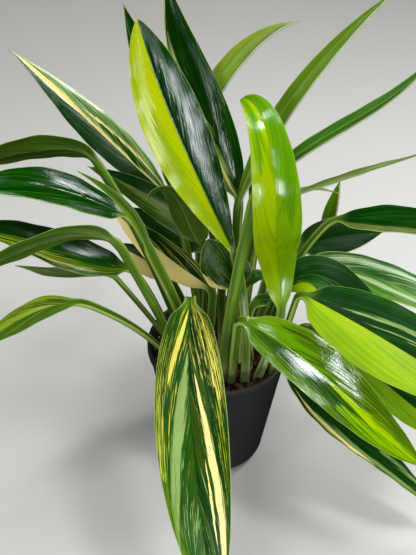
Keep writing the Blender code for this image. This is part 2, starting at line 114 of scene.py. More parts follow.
class Hue(Enum):
    """Colours of the plant, its soil and its pot, in sRGB from 0 to 255."""

    FOREST = (6, 50, 2)
    BOTTLE = (16, 70, 4)
    GREEN = (40, 100, 6)
    LEAF = (84, 140, 6)
    LIME = (118, 160, 0)
    ZEST = (146, 174, 0)
    SUNLIT = (176, 192, 0)
    MUSTARD = (164, 170, 34)
    BUTTER = (218, 208, 84)
    CREAM = (242, 222, 140)
    IVORY = (232, 226, 200)
    SAGE = (128, 154, 86)
    MIST = (170, 190, 148)
    PEAR = (136, 162, 34)
    OLIVE = (90, 124, 10)
    MOSS = (48, 74, 6)
    DRAB = (98, 112, 56)
    STRAW = (190, 164, 104)
    STALK = (66, 100, 20)
    RIDGE = (150, 172, 84)
    SHEATH = (214, 208, 168)
    PLASTIC = (50, 51, 48)
    SCUFF = (82, 83, 78)
    SOIL = (34, 24, 17)
    CRUMB = (62, 45, 31)
    BARK = (104, 70, 44)
    HUSK = (150, 112, 74)
    PERLITE = (222, 218, 208)
    FLOOR = (204, 203, 200)

    @property
    def linear(self) -> tuple[float, float, float, float]:
        """The colour as Blender's linear RGBA."""
        shares = (part / 255 for part in self.value)
        red, green, blue = (s / 12.92 if s <= 0.04045 else ((s + 0.055) / 1.055) ** 2.4 for s in shares)
        return red, green, blue, 1.0


def math_node(kind: str, swapped: bool = False) -> Callable[..., "Value"]:
    """A method of Value that adds a Math node.

    Args:
        kind: The node's operation.
        swapped: Whether the other term comes first.

    Returns:
        The method.
    """
    def method(self: "Value", *other: Number) -> "Value":
        """Add the node and hand back its output."""
        terms = (*other, self) if swapped else (self, *other)
        return self.graph.node("ShaderNodeMath", {"operation": kind}, dict(enumerate(terms)))
    return method


class Value:
    """A node's output that Python's operators work on."""

    __add__ = __radd__ = math_node("ADD")
    __sub__ = math_node("SUBTRACT")
    __rsub__ = math_node("SUBTRACT", swapped=True)
    __mul__ = __rmul__ = math_node("MULTIPLY")
    __truediv__ = math_node("DIVIDE")
    __pow__ = math_node("POWER")
    __abs__ = math_node("ABSOLUTE")

    def __init__(self, graph: "Graph", socket: bpy.types.NodeSocket) -> None:
        """Keep the socket and the graph that it belongs to."""
        self.graph = graph
        self.socket = socket


class Graph:
    """The node tree of one finish."""

    def __init__(self, name: str) -> None:
        """Start a material with its Principled shader."""
        self.material = bpy.data.materials.new(name)
        self.material.use_nodes = True
        self.tree = self.material.node_tree
        self.shader = self.tree.nodes["Principled BSDF"]

    def feed(self, socket: bpy.types.NodeSocket, value: Union[Number, Hue, Sequence[float]]) -> None:
        """Link or set one input socket.

        Args:
            socket: The input.
            value: A Value to link, a Hue, or a plain number or tuple.
        """
        if isinstance(value, Value):
            self.tree.links.new(value.socket, socket)
        elif isinstance(value, Hue):
            socket.default_value = value.linear
        else:
            socket.default_value = value

    def node(self, kind: str, settings: dict, inputs: dict, output: Union[int, str] = 0) -> Value:
        """Add a node.

        Args:
            kind: The node's type.
            settings: Its properties, set first.
            inputs: Values or links by socket name or index.
            output: Which output is handed back.

        Returns:
            The chosen output.
        """
        made = self.tree.nodes.new(kind)
        for key, value in settings.items():
            setattr(made, key, value)
        for key, value in inputs.items():
            self.feed(made.inputs[key], value)
        return Value(self, made.outputs[output])

    def split(self, name: str) -> tuple[Value, Value, Value]:
        """The three parts of a vertex attribute.

        Args:
            name: The attribute.

        Returns:
            Its x, y and z.
        """
        return self.parts(self.node("ShaderNodeAttribute", {"attribute_name": name}, {}, "Vector"))

    def parts(self, vector: Value) -> tuple[Value, Value, Value]:
        """The x, y and z of a vector."""
        first = self.node("ShaderNodeSeparateXYZ", {}, {0: vector})
        return first, *(Value(self, first.socket.node.outputs[index]) for index in (1, 2))

    def place(self) -> Value:
        """The object coordinates in millimetres."""
        found = self.node("ShaderNodeTexCoord", {}, {}, "Object")
        return self.node("ShaderNodeVectorMath", {"operation": "SCALE"}, {0: found, "Scale": 1 / MM})

    def vector(self, x: Number, y: Number, z: Number) -> Value:
        """A vector of three numbers."""
        return self.node("ShaderNodeCombineXYZ", {}, {0: x, 1: y, 2: z})

    def noise(self, at: Value, scale: float = 1.0, detail: float = 2.0, rough: float = 0.5) -> Value:
        """Cloudy noise from 0 to 1, mostly 0.3 to 0.7."""
        sockets = {"Vector": at, "Scale": scale, "Detail": detail, "Roughness": rough}
        return self.node("ShaderNodeTexNoise", {}, sockets)

    def smooth(self, value: Number, low: Number, high: Number) -> Value:
        """0 below low, 1 above high and a soft step between."""
        sockets = {0: value, 1: low, 2: high}
        return self.node("ShaderNodeMapRange", {"interpolation_type": "SMOOTHSTEP"}, sockets)

    def mix(self, share: Number, low: Union[Value, Hue], high: Union[Value, Hue]) -> Value:
        """A colour from low, at share 0, to high, at share 1."""
        return self.node("ShaderNodeMix", {"data_type": "RGBA"}, {0: share, 6: low, 7: high}, 2)

    def tone(self, colour: Union[Value, Hue], brightness: Number, warmth: Number = 0.5) -> Value:
        """The colour made lighter or darker and its hue turned."""
        sockets = {"Hue": warmth, "Value": brightness, "Color": colour}
        return self.node("ShaderNodeHueSaturation", {}, sockets)

    def finish(self, colour: Value, roughness: Number, height: Value, specular: float = 0.5) -> Material:
        """Feed the shader.

        Args:
            colour: The base colour.
            roughness: The roughness.
            height: Relief in millimetres.
            specular: The specular level, the same all over.

        Returns:
            The finished material.
        """
        relief = self.node("ShaderNodeBump", {}, {"Strength": 1.0, "Distance": MM, "Height": height})
        sockets = {"Base Color": colour, "Roughness": roughness, "Normal": relief,
                   "Specular IOR Level": specular}
        for name, value in sockets.items():
            self.feed(self.shader.inputs[name], value)
        return self.material


@dataclass(frozen=True)
class Half:
    """Colours of one half of a blade, from its ground to its margin.

    cover and flecked are the shares of the half that streaks and flecks take,
    and band is the width of the coloured margin in millimetres.
    """

    ground: Hue
    streak: Hue
    cover: float = 0.3
    fleck: Hue = Hue.LEAF
    flecked: float = 0.0
    edge: Hue = Hue.IVORY
    band: float = 0.0


@dataclass(frozen=True)
class Stroke:
    """A long streak of colour laid on a blade.

    start and end are (side, share), bow is how far its middle is pushed
    sideways, breadth its half width as a share of the blade's half, torn how
    much the veins break it up, and bare how much of it they leave out.
    """

    hue: Hue
    start: tuple[float, float]
    end: tuple[float, float]
    breadth: float = 0.08
    bow: float = 0.0
    torn: float = 0.5
    bare: float = 0.0


class Fields:
    """A leaf's coordinates and noises, as sockets of its graph.

    side runs between the margins and share from heel to tip. opening is 0 on
    the stalk and 1 on the blade. across and along are millimetres from the
    midrib and from the heel, vein follows the veins, edge is the distance to
    the margin, and under is 1 on the underside. plus is 1 on the half where
    side is above 0, and seed differs from leaf to leaf.
    """

    def __init__(self, graph: Graph, stretch: float) -> None:
        """Read the vertex layers and add the noises.

        Args:
            graph: The finish's graph.
            stretch: How many times shorter the streaks are.
        """
        self.side, self.share, self.opening = graph.split("place")
        self.across, run, self.vein = graph.split("span")
        self.edge, self.under, self.seed = graph.split("rim")
        self.along = run * stretch
        self.plus = graph.smooth(self.side, -0.008, 0.008)
        shift = self.plus * 7.3 + self.seed
        self.broad, self.fine, self.hair = (
            graph.noise(graph.vector(self.vein / wide, self.along / long, shift + offset), detail=detail)
            for wide, long, offset, detail in VEIN_NOISES)
        self.cloud = graph.noise(graph.vector(self.across / 15, self.along / 32, shift + 9.4))
        self.grain = graph.noise(graph.vector(self.side * 5, self.along / 60, self.seed + self.under * 4),
                                 detail=3)
        rib_half = (1 - self.share) * 0.6 + 0.25
        self.on_rib = 1 - graph.smooth(abs(self.across), rib_half * 0.5, rib_half)


@dataclass(frozen=True)
class LeafFinish:
    """How one leaf, or several alike, are coloured and how glossy they are.

    gloss is the blade's roughness. hem is the width in millimetres of a pale
    margin on the underside: of the plus half where it is above 0, of the minus
    half where it is below. A stretch above 1 makes the streaks and flecks that
    much shorter.
    """

    name: str
    plus: Half
    minus: Half
    under: Hue = Hue.OLIVE
    rib: Hue = Hue.LEAF
    stalk: Hue = Hue.STALK
    gloss: float = 0.24
    hem: float = 0.0
    stretch: float = 1.0
    strokes: tuple[Stroke, ...] = ()

    @staticmethod
    def limit(cover: float) -> float:
        """The noise level above which that share of the surface lies."""
        return 0.72 - 0.44 * cover if cover > 0 else 1.5

    def both(self, graph: Graph, plus: Value, part: str) -> Value:
        """One of the two halves' colours, each on its own side."""
        return graph.mix(plus, getattr(self.minus, part), getattr(self.plus, part))

    def level(self, plus: Value, part: str) -> Value:
        """The noise level for a cover, each half with its own."""
        low, high = (self.limit(getattr(half, part)) for half in (self.minus, self.plus))
        return plus * (high - low) + low

    def stroke_mask(self, graph: Graph, stroke: Stroke, at: Fields) -> Value:
        """Where one stroke lies.

        Args:
            graph: The finish's graph.
            stroke: The stroke.
            at: The leaf's fields.

        Returns:
            The mask, 0 to 1.
        """
        step = (at.share - stroke.start[1]) / (stroke.end[1] - stroke.start[1])
        arch = graph.node("ShaderNodeClamp", {}, {0: step * (1 - step) * 4})
        centre = step * (stroke.end[0] - stroke.start[0]) + arch * stroke.bow + stroke.start[0]
        reach = arch ** 0.8 * stroke.breadth + 0.001
        inside = 1 - abs(at.side - centre) / reach
        torn = (at.fine + at.hair) * 0.5 - 0.5
        return graph.smooth(inside + torn * stroke.torn * 5 - stroke.bare, 0.05, 0.35)

    def blade(self, graph: Graph, at: Fields) -> Value:
        """The upper face: ground, streaks, flecks, strokes, margin and midrib."""
        streaked = at.broad + (at.fine - 0.5) * 0.5 - self.level(at.plus, "cover")
        flecked = at.fine + (at.hair - 0.5) * 0.4 - self.level(at.plus, "flecked")
        colour = self.both(graph, at.plus, "ground")
        for mask, part in ((graph.smooth(streaked, -0.05, 0.07) * 0.85, "streak"),
                           (graph.smooth(flecked, -0.02, 0.03) * 0.9, "fleck")):
            colour = graph.mix(mask, colour, self.both(graph, at.plus, part))
        for stroke in self.strokes:
            colour = graph.mix(self.stroke_mask(graph, stroke, at), colour, stroke.hue)
        if self.plus.band or self.minus.band:
            band = at.plus * (self.plus.band - self.minus.band) + self.minus.band
            inside = graph.smooth(at.edge + (at.fine - 0.5) * band * 1.6, band * 0.7, band + 0.2)
            colour = graph.mix(inside, self.both(graph, at.plus, "edge"), colour)
        colour = graph.tone(colour, 0.74 + at.cloud * 0.3 + at.hair * 0.22, 0.494 + at.cloud * 0.012)
        return graph.mix(at.on_rib * 0.7, colour, self.rib)

    def back(self, graph: Graph, at: Fields, blade: Value) -> Value:
        """The underside, which shows a little of the upper face's colours."""
        colour = graph.mix(graph.smooth(at.fine, 0.44, 0.58) * 0.35, self.under, Hue.OLIVE)
        colour = graph.mix(graph.smooth(at.hair, 0.5, 0.7) * 0.12, colour, Hue.SAGE)
        colour = graph.mix(at.on_rib * 0.2, graph.mix(0.12, colour, blade), Hue.RIDGE)
        colour = graph.tone(colour, 0.78 + at.cloud * 0.26 + at.hair * 0.18)
        if self.hem:
            half = 1 - at.plus if self.hem < 0 else at.plus
            for hue, reach in ((Hue.DRAB, 1.3), (Hue.MIST, 0.8)):
                inner = abs(self.hem) * reach
                colour = graph.mix(half * (1 - graph.smooth(at.edge, inner * 0.7, inner)), colour, hue)
        return colour

    def stem(self, graph: Graph, at: Fields) -> Value:
        """The stalk: pale ridges, painted shade along its groove and a pale sheath at the soil."""
        height = graph.parts(graph.place())[2]
        side, rough = abs(at.side), at.grain - 0.5
        colour = graph.mix(graph.smooth(at.grain, 0.4, 0.62), self.stalk, Hue.OLIVE)
        colour = graph.mix(graph.smooth(side + rough * 0.5, 0.6, 1.0) * 0.8, colour, Hue.RIDGE)
        # painted shade: the groove down the middle of the upper face is darkened towards moss
        colour = graph.mix((1 - graph.smooth(side, 0.05, 0.4)) * (1 - at.under) * 0.6, colour, Hue.MOSS)
        free = graph.smooth(height + rough * 60, SOIL_TOP - 8, SOIL_TOP + 30)
        return graph.mix(free * 0.75 + 0.25, graph.mix(0.45, Hue.SHEATH, Hue.PEAR), colour)

    def make(self) -> Material:
        """Build the material.

        Returns:
            The leaf's material.
        """
        graph = Graph(self.name)
        at = Fields(graph, self.stretch)
        blade = self.blade(graph, at)
        skin = graph.mix(at.under, blade, self.back(graph, at, blade))
        skin = graph.mix(graph.smooth(at.edge, 0.1, 0.5) * 0.75 + 0.25, Hue.RIDGE, skin)
        skin = graph.mix(graph.smooth(at.share, 0.99, 1.0), skin, Hue.STRAW)
        colour = graph.mix(at.opening, self.stem(graph, at), skin)

        closed = 1 - at.opening
        grit = graph.noise(graph.place(), 0.55, 3, 0.6)
        shine = (at.fine - 0.5) * 0.16 + (grit - 0.5) * 0.12 + self.gloss + at.on_rib * 0.08
        shine = shine + at.under * 0.1 + closed * 0.1
        relief = at.fine * 0.17 + at.hair * 0.05 + at.cloud * 0.4 + grit * 0.08
        relief = relief * (1 - at.under * 0.5) * at.opening + at.grain * closed * 0.3
        specular = next(level for roughest, level in SPECULAR_BY_GLOSS if self.gloss < roughest)
        return graph.finish(colour, shine, relief, specular=specular)


def dark(cover: float = 0.35, **more) -> Half:
    """A dark green half with slightly lighter streaks."""
    return Half(Hue.FOREST, Hue.BOTTLE, cover, **more)


def lime(ground: Hue = Hue.ZEST, streak: Hue = Hue.LIME, cover: float = 0.3, **more) -> Half:
    """A yellow-green half with greener streaks."""
    return Half(ground, streak, cover, **more)


def olive(**more) -> Half:
    """A mid green half."""
    return Half(Hue.GREEN, Hue.LEAF, 0.35, **more)


PLAIN_DARK = LeafFinish("leaf_plain_dark", dark(), dark(0.25), rib=Hue.GREEN)
PLAIN_CURLED = LeafFinish("leaf_plain_olive", dark(), dark(), under=Hue.MOSS, rib=Hue.MOSS, gloss=0.34)
INNER = LeafFinish(
    "leaf_inner_green", plus=Half(Hue.BOTTLE, Hue.GREEN, 0.5), minus=Half(Hue.BOTTLE, Hue.LEAF, 0.4),
    rib=Hue.LEAF, gloss=0.32)
HANGING = LeafFinish(
    "leaf_hanging_streaked",
    plus=Half(Hue.FOREST, Hue.MOSS, 0.5, Hue.STALK, 0.2, Hue.SAGE, 0.4),
    minus=Half(Hue.BOTTLE, Hue.MOSS, 0.5, Hue.LEAF, 0.16, Hue.SAGE, 0.4),
    rib=Hue.BOTTLE, gloss=0.42, stretch=1.9,
    strokes=(
        Stroke(Hue.SAGE, (0.0, 0.17), (-1.0, 0.78), 0.19, 0.04, 0.5),
        Stroke(Hue.OLIVE, (-0.95, 0.1), (-0.9, 1.0), 0.5, 0.0, 1.6, 0.6),
        Stroke(Hue.SAGE, (0.3, 0.5), (0.4, 1.0), 0.5, 0.0, 2.6, 1.6),
        Stroke(Hue.SAGE, (-0.4, 0.42), (-0.15, 1.05), 0.5, 0.0, 2.6, 1.7),
        Stroke(Hue.MUSTARD, (-0.3, -0.03), (-0.6, 0.4), 0.5, 0.0, 2.6, 1.3),
        Stroke(Hue.BUTTER, (-0.03, 0.03), (-0.62, 0.28), 0.12, -0.04, 0.5),
        Stroke(Hue.BUTTER, (-0.82, 0.12), (-0.9, 0.56), 0.34, 0.0, 2.6, 1.3),
        Stroke(Hue.MUSTARD, (0.8, 0.05), (0.85, 0.66), 0.3, 0.0, 2.4, 1.2),
        Stroke(Hue.BUTTER, (0.25, -0.05), (0.85, 0.34), 0.5, 0.1, 2.6, 1.0),
        Stroke(Hue.CREAM, (0.17, 0.25), (0.92, 1.06), 0.13, 0.12, 0.5),
        Stroke(Hue.CREAM, (0.3, 0.5), (0.5, 0.76), 0.04, 0.0, 1.2),
    ))
FRONT_LIME = LeafFinish(
    "leaf_front_two_tone", plus=lime(Hue.OLIVE, Hue.LEAF, 0.4),
    minus=Half(Hue.STALK, Hue.BOTTLE, 0.5, Hue.OLIVE, 0.35), rib=Hue.LIME, gloss=0.05,
    strokes=(
        Stroke(Hue.MOSS, (0.65, 0.15), (0.55, 1.8), 1.2, 0.0, 1.8, 0.4),
        Stroke(Hue.OLIVE, (-0.95, -0.1), (-0.85, 0.6), 0.9, 0.0, 2.0, 0.5),
        Stroke(Hue.FOREST, (-0.25, 0.05), (-0.45, 0.9), 0.5, 0.0, 2.2, 0.6),
        Stroke(Hue.LIME, (-0.6, 0.55), (-0.3, 1.4), 0.9, 0.0, 1.6, 0.4),
        Stroke(Hue.ZEST, (-0.06, 0.45), (-0.04, 1.1), 0.2, -0.04, 0.7),
    ))
FRONT_LOW = LeafFinish(
    "leaf_front_low_streaked", plus=dark(0.4),
    minus=Half(Hue.FOREST, Hue.BOTTLE, 0.4, Hue.LEAF, 0.14, Hue.SAGE, 0.6),
    rib=Hue.BOTTLE, gloss=0.3,
    strokes=(
        Stroke(Hue.SAGE, (-0.6, 0.25), (-0.8, 0.95), 0.26, 0.0, 1.5, 0.3),
        Stroke(Hue.CREAM, (-0.7, 0.12), (-0.9, 0.6), 0.12, 0.0, 0.9),
        Stroke(Hue.SAGE, (0.3, 0.6), (0.6, 1.05), 0.4, 0.0, 2.0, 0.7),
    ))
RIGHT_LARGE = LeafFinish(
    "leaf_right_two_tone", plus=dark(0.45, fleck=Hue.GREEN, flecked=0.1),
    minus=lime(Hue.LIME, Hue.ZEST, 0.5), rib=Hue.SUNLIT, gloss=0.42,
    # painted highlight: the two thin sage strokes on the dark half are pale streaks of sheen, not leaf colour
    strokes=(
        Stroke(Hue.SAGE, (0.2, 0.2), (0.75, 0.8), 0.07, 0.0, 1.6, 0.4),
        Stroke(Hue.SAGE, (0.1, 0.3), (0.6, 1.0), 0.05, 0.0, 1.6, 0.4),
    ))
RIGHT_UNDER = LeafFinish(
    "leaf_right_under_half_lime", plus=dark(), minus=lime(Hue.LIME, Hue.LEAF, 0.3), rib=Hue.LEAF)
MIDDLE_LIME = LeafFinish(
    "leaf_middle_lime", plus=lime(Hue.ZEST, Hue.LIME, 0.3), minus=lime(Hue.LIME, Hue.LEAF, 0.4),
    rib=Hue.LIME, gloss=0.11,
    strokes=(
        Stroke(Hue.LEAF, (-0.5, 0.5), (-0.6, 1.2), 0.8, 0.0, 0.8, 0.3),
        Stroke(Hue.LEAF, (0.6, 0.7), (0.5, 1.2), 0.5, 0.0, 0.8, 0.3),
    ))
TALL_LIME = LeafFinish(
    "leaf_tall_two_tone", plus=lime(Hue.SUNLIT, Hue.ZEST, 0.35), minus=dark(0.3), rib=Hue.GREEN, gloss=0.11,
    strokes=(Stroke(Hue.ZEST, (0.5, -0.3), (0.5, 0.7), 0.45, 0.0, 0.7, 0.2),))
TALL_TWIN = LeafFinish(
    "leaf_twin_dark", plus=dark(0.4, fleck=Hue.SAGE, flecked=0.06), minus=dark(), rib=Hue.GREEN, gloss=0.12)
TOP_DARK = LeafFinish(
    "leaf_top_dark", plus=dark(0.35, edge=Hue.CREAM, band=0.7), minus=dark(0.4), rib=Hue.BOTTLE, gloss=0.12,
    strokes=(
        Stroke(Hue.SAGE, (0.3, -0.3), (0.8, 0.8), 0.5, 0.0, 1.4, 0.2),
        Stroke(Hue.CREAM, (0.2, -0.3), (0.7, 0.75), 0.12, 0.0, 0.7),
    ))
SPECKLED = LeafFinish(
    "leaf_speckled", plus=Half(Hue.FOREST, Hue.MOSS, 0.5, Hue.STALK, 0.4, Hue.SAGE, 0.4),
    minus=Half(Hue.FOREST, Hue.MOSS, 0.5, Hue.STALK, 0.4), rib=Hue.MOSS, gloss=0.36, stretch=4.0,
    strokes=(Stroke(Hue.CREAM, (0.5, -0.4), (0.95, 0.5), 0.5, 0.3, 0.6),))
CREAM_LEAF = LeafFinish(
    "leaf_half_cream", plus=Half(Hue.CREAM, Hue.CREAM, 0.4),
    minus=Half(Hue.FOREST, Hue.GREEN, 0.4, Hue.BUTTER, 0.22), under=Hue.SAGE, rib=Hue.CREAM, gloss=0.36)
LEFT_GLOSSY = LeafFinish(
    "leaf_left_glossy", plus=dark(0.5, fleck=Hue.GREEN, flecked=0.15, edge=Hue.LEAF, band=1.0),
    minus=dark(0.35), rib=Hue.BOTTLE, gloss=0.11)
UPPER_LEFT = LeafFinish(
    "leaf_upper_left_streaked", plus=dark(0.3),
    minus=Half(Hue.GREEN, Hue.SAGE, 0.6, Hue.MIST, 0.34, Hue.MIST, 0.9), rib=Hue.CREAM, gloss=0.24,
    strokes=(
        Stroke(Hue.BOTTLE, (-0.5, -0.3), (-0.6, 0.7), 0.5, 0.0, 2.4, 1.0),
        Stroke(Hue.CREAM, (-0.5, -0.05), (-0.3, 0.6), 0.1, -0.06, 1.4, 0.2),
        Stroke(Hue.CREAM, (-0.02, -0.2), (-0.06, 1.3), 0.08, -0.02, 0.6),
        Stroke(Hue.CREAM, (-0.05, 0.55), (-0.2, 1.5), 0.42, 0.0, 0.5),
        Stroke(Hue.BOTTLE, (-0.25, 0.0), (-0.3, 0.5), 0.2, 0.0, 2.0, 0.4),
        Stroke(Hue.IVORY, (-0.9, 0.5), (-0.7, 1.1), 0.12, 0.0, 1.6, 0.3),
    ))
LEFT_NARROW = LeafFinish(
    "leaf_left_narrow", plus=Half(Hue.MOSS, Hue.STALK, 0.4), minus=dark(0.4), rib=Hue.SAGE, gloss=0.36,
    strokes=(Stroke(Hue.DRAB, (0.1, -0.3), (0.1, 0.8), 0.4, 0.0, 0.8),))
LEFT_WIDE = LeafFinish(
    "leaf_left_wide_streaked",
    plus=Half(Hue.BOTTLE, Hue.OLIVE, 0.45, Hue.MUSTARD, 0.12, Hue.LEAF, 0.5), minus=dark(0.3),
    rib=Hue.BOTTLE, gloss=0.12,
    strokes=(
        Stroke(Hue.OLIVE, (0.5, -0.2), (0.7, 0.8), 0.34, 0.0, 2.2, 0.5),
        Stroke(Hue.MUSTARD, (0.5, 0.3), (0.8, 1.1), 0.3, 0.0, 2.2, 0.9),
        Stroke(Hue.CREAM, (0.7, 0.1), (0.85, 0.7), 0.12, 0.0, 2.0, 0.9),
    ))
LEFT_LOW = LeafFinish(
    "leaf_left_low_streaked", plus=Half(Hue.STALK, Hue.OLIVE, 0.4, Hue.SAGE, 0.2),
    minus=lime(Hue.PEAR, Hue.OLIVE, 0.4, fleck=Hue.MOSS, flecked=0.36), rib=Hue.OLIVE, gloss=0.34,
    stretch=1.5)
LEFT_INNER = LeafFinish(
    "leaf_inner_half_cream", plus=Half(Hue.CREAM, Hue.CREAM, 0.3),
    minus=dark(0.4, fleck=Hue.BUTTER, flecked=0.1), rib=Hue.CREAM, gloss=0.36)
PALE = LeafFinish(
    "leaf_pale_sage", plus=Half(Hue.DRAB, Hue.SAGE, 0.4),
    minus=Half(Hue.DRAB, Hue.SAGE, 0.3, edge=Hue.MIST, band=0.6), under=Hue.DRAB, rib=Hue.SAGE, gloss=0.42)
RIGHT_DARK = LeafFinish(
    "leaf_right_dark", plus=dark(0.4, fleck=Hue.GREEN, flecked=0.15),
    minus=dark(0.5, fleck=Hue.GREEN, flecked=0.2), rib=Hue.GREEN, gloss=0.42,
    strokes=(
        Stroke(Hue.GREEN, (-0.6, -0.1), (-0.5, 0.9), 0.4, 0.0, 1.2, 0.3),
        Stroke(Hue.ZEST, (-0.75, -0.3), (-0.85, 0.36), 0.7, 0.0, 0.4),
    ))
RIGHT_STREAKED = LeafFinish(
    "leaf_right_streaked", plus=Half(Hue.GREEN, Hue.BOTTLE, 0.5, Hue.SAGE, 0.25, Hue.MIST, 0.5),
    minus=Half(Hue.LEAF, Hue.GREEN, 0.5, Hue.SAGE, 0.25, Hue.IVORY, 0.6), rib=Hue.LEAF, gloss=0.3,
    strokes=(
        Stroke(Hue.MIST, (0.4, -0.05), (0.7, 0.7), 0.25, 0.0, 1.2, 0.2),
        Stroke(Hue.MIST, (-0.1, 0.1), (-0.7, 0.8), 0.16, 0.0, 1.0),
    ))
RIGHT_INNER = LeafFinish(
    "leaf_right_inner_dark", plus=dark(), minus=dark(edge=Hue.IVORY, band=0.8), rib=Hue.BOTTLE, gloss=0.5)
RIGHT_HIGH = LeafFinish(
    "leaf_right_high_dark", plus=dark(), minus=dark(0.4, edge=Hue.SAGE, band=0.8), rib=Hue.BOTTLE, gloss=0.26,
    strokes=(Stroke(Hue.DRAB, (-0.75, -0.2), (-0.8, 1.0), 0.3, 0.0, 1.0, 0.1),))
YOUNG = LeafFinish(
    "leaf_young_lime", plus=lime(Hue.OLIVE, Hue.LEAF, 0.4),
    minus=lime(Hue.OLIVE, Hue.LEAF, 0.5, edge=Hue.IVORY, band=1.4), rib=Hue.LEAF, gloss=0.3)
TALL_STALK = LeafFinish(
    "leaf_tall_stalk_olive", plus=olive(), minus=olive(), under=Hue.GREEN, rib=Hue.LEAF, gloss=0.26, hem=2.2)
SPEAR = LeafFinish(
    "leaf_spear_green", plus=Half(Hue.STALK, Hue.OLIVE, 0.4), minus=Half(Hue.STALK, Hue.OLIVE, 0.4),
    rib=Hue.MOSS, gloss=0.36)
HIGH_OLIVE = LeafFinish(
    "leaf_high_olive", plus=olive(), minus=olive(), under=Hue.MOSS, rib=Hue.LEAF, gloss=0.28)
ARCHED = LeafFinish(
    "leaf_arched_streaked", plus=Half(Hue.GREEN, Hue.SAGE, 0.4), minus=Half(Hue.GREEN, Hue.OLIVE, 0.4),
    under=Hue.MOSS, rib=Hue.LEAF, gloss=0.3)
TOP_RIGHT = LeafFinish(
    "leaf_top_right_olive", plus=olive(edge=Hue.IVORY, band=0.6), minus=olive(edge=Hue.IVORY, band=0.6),
    under=Hue.OLIVE, rib=Hue.LEAF, gloss=0.26, hem=1.8)
TOP_MIDDLE = LeafFinish(
    "leaf_top_middle_olive", plus=olive(), minus=olive(), under=Hue.PEAR, rib=Hue.PEAR, gloss=0.24, hem=2.6)
BACK_STREAKED = LeafFinish(
    "leaf_back_streaked", plus=Half(Hue.FOREST, Hue.BOTTLE, 0.35, Hue.BUTTER, 0.15, Hue.SAGE, 0.5),
    minus=Half(Hue.FOREST, Hue.BOTTLE, 0.35, Hue.SAGE, 0.15, Hue.SAGE, 0.5), rib=Hue.BOTTLE, gloss=0.24,
    strokes=(
        Stroke(Hue.CREAM, (0.1, 0.1), (0.8, 0.75), 0.12, 0.1, 0.5),
        Stroke(Hue.SAGE, (-0.1, 0.15), (-0.9, 0.8), 0.2, 0.0, 0.8),
    ))


def unit(vector: Sequence[float]) -> np.ndarray:
    """The vector, or each row of vectors, at length one."""
    vector = np.asarray(vector, float)
    return vector / np.linalg.norm(vector, axis=-1, keepdims=True)


def eased(step: np.ndarray) -> np.ndarray:
    """A soft step from 0 to 1."""
    return step * step * (3 - 2 * step)


def crowded(step: np.ndarray, pull: float) -> np.ndarray:
    """Even steps from 0 to 1 drawn towards both ends."""
    return (1 - pull) * step + pull * (1 - np.cos(np.pi * step)) / 2


def distances(points: np.ndarray) -> np.ndarray:
    """The distance along a line at each of its points."""
    return np.concatenate([[0], np.cumsum(np.linalg.norm(np.diff(points, axis=0), axis=1))])


def soil_height(x: float, y: float) -> float:
    """The soil's uneven top at a place."""
    return SOIL_TOP + 2.2 * (0.5 * math.sin(x * 0.13 + 1.0) * math.cos(y * 0.11)
                             + 0.3 * math.sin(x * 0.31 - y * 0.23) - 0.6)


def show(name: str, made: Mesh, material: Material, sharp: float) -> bpy.types.Object:
    """Turn a finished bmesh into a smooth-shaded object at the origin.

    Args:
        name: The piece's name.
        made: The mesh, which is freed.
        material: Its finish.
        sharp: Edges with a greater angle stay sharp, in degrees.

    Returns:
        The object.
    """
    mesh = bpy.data.meshes.new(name)
    made.to_mesh(mesh)
    made.free()
    mesh.shade_smooth()
    mesh.set_sharp_from_angle(angle=math.radians(sharp))
    mesh.materials.append(material)
    piece = bpy.data.objects.new(name, mesh)
    bpy.context.scene.collection.objects.link(piece)
    return piece


def hand_over(piece: bpy.types.Object, slot: str, *nodes: str) -> None:
    """Attach a piece to the root body and hide the parts that it stands for."""
    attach(piece, "root")
    if nodes:
        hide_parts(*nodes)
    log.info("%s: %d faces", piece.name, len(piece.data.polygons))


def spun(profile: Iterable[tuple[float, float]], steps: int, centre: Triple = (0, 0, 0)) -> Mesh:
    """A round solid from its profile.

    Args:
        profile: Points as (radius, height), which close on the axis or on the first point.
        steps: Steps round the circle.
        centre: Where the axis stands.

    Returns:
        The closed mesh, in metres.
    """
    made = bmesh.new()
    points = list(profile)
    verts = [made.verts.new(Vector((radius, 0, height)) * MM) for radius, height in points]
    for first, second in zip(verts, verts[1:]):
        made.edges.new((first, second))
    if points[0][0] > 0 and points[-1][0] > 0:
        made.edges.new((verts[-1], verts[0]))
    bmesh.ops.spin(made, geom=made.verts[:] + made.edges[:], cent=(0, 0, 0), axis=(0, 0, 1),
                   angle=math.tau, steps=steps, use_merge=True)
    bmesh.ops.remove_doubles(made, verts=made.verts[:], dist=1e-6)
    bmesh.ops.recalc_face_normals(made, faces=made.faces[:])
    bmesh.ops.translate(made, verts=made.verts[:], vec=Vector(centre) * MM)
    return made


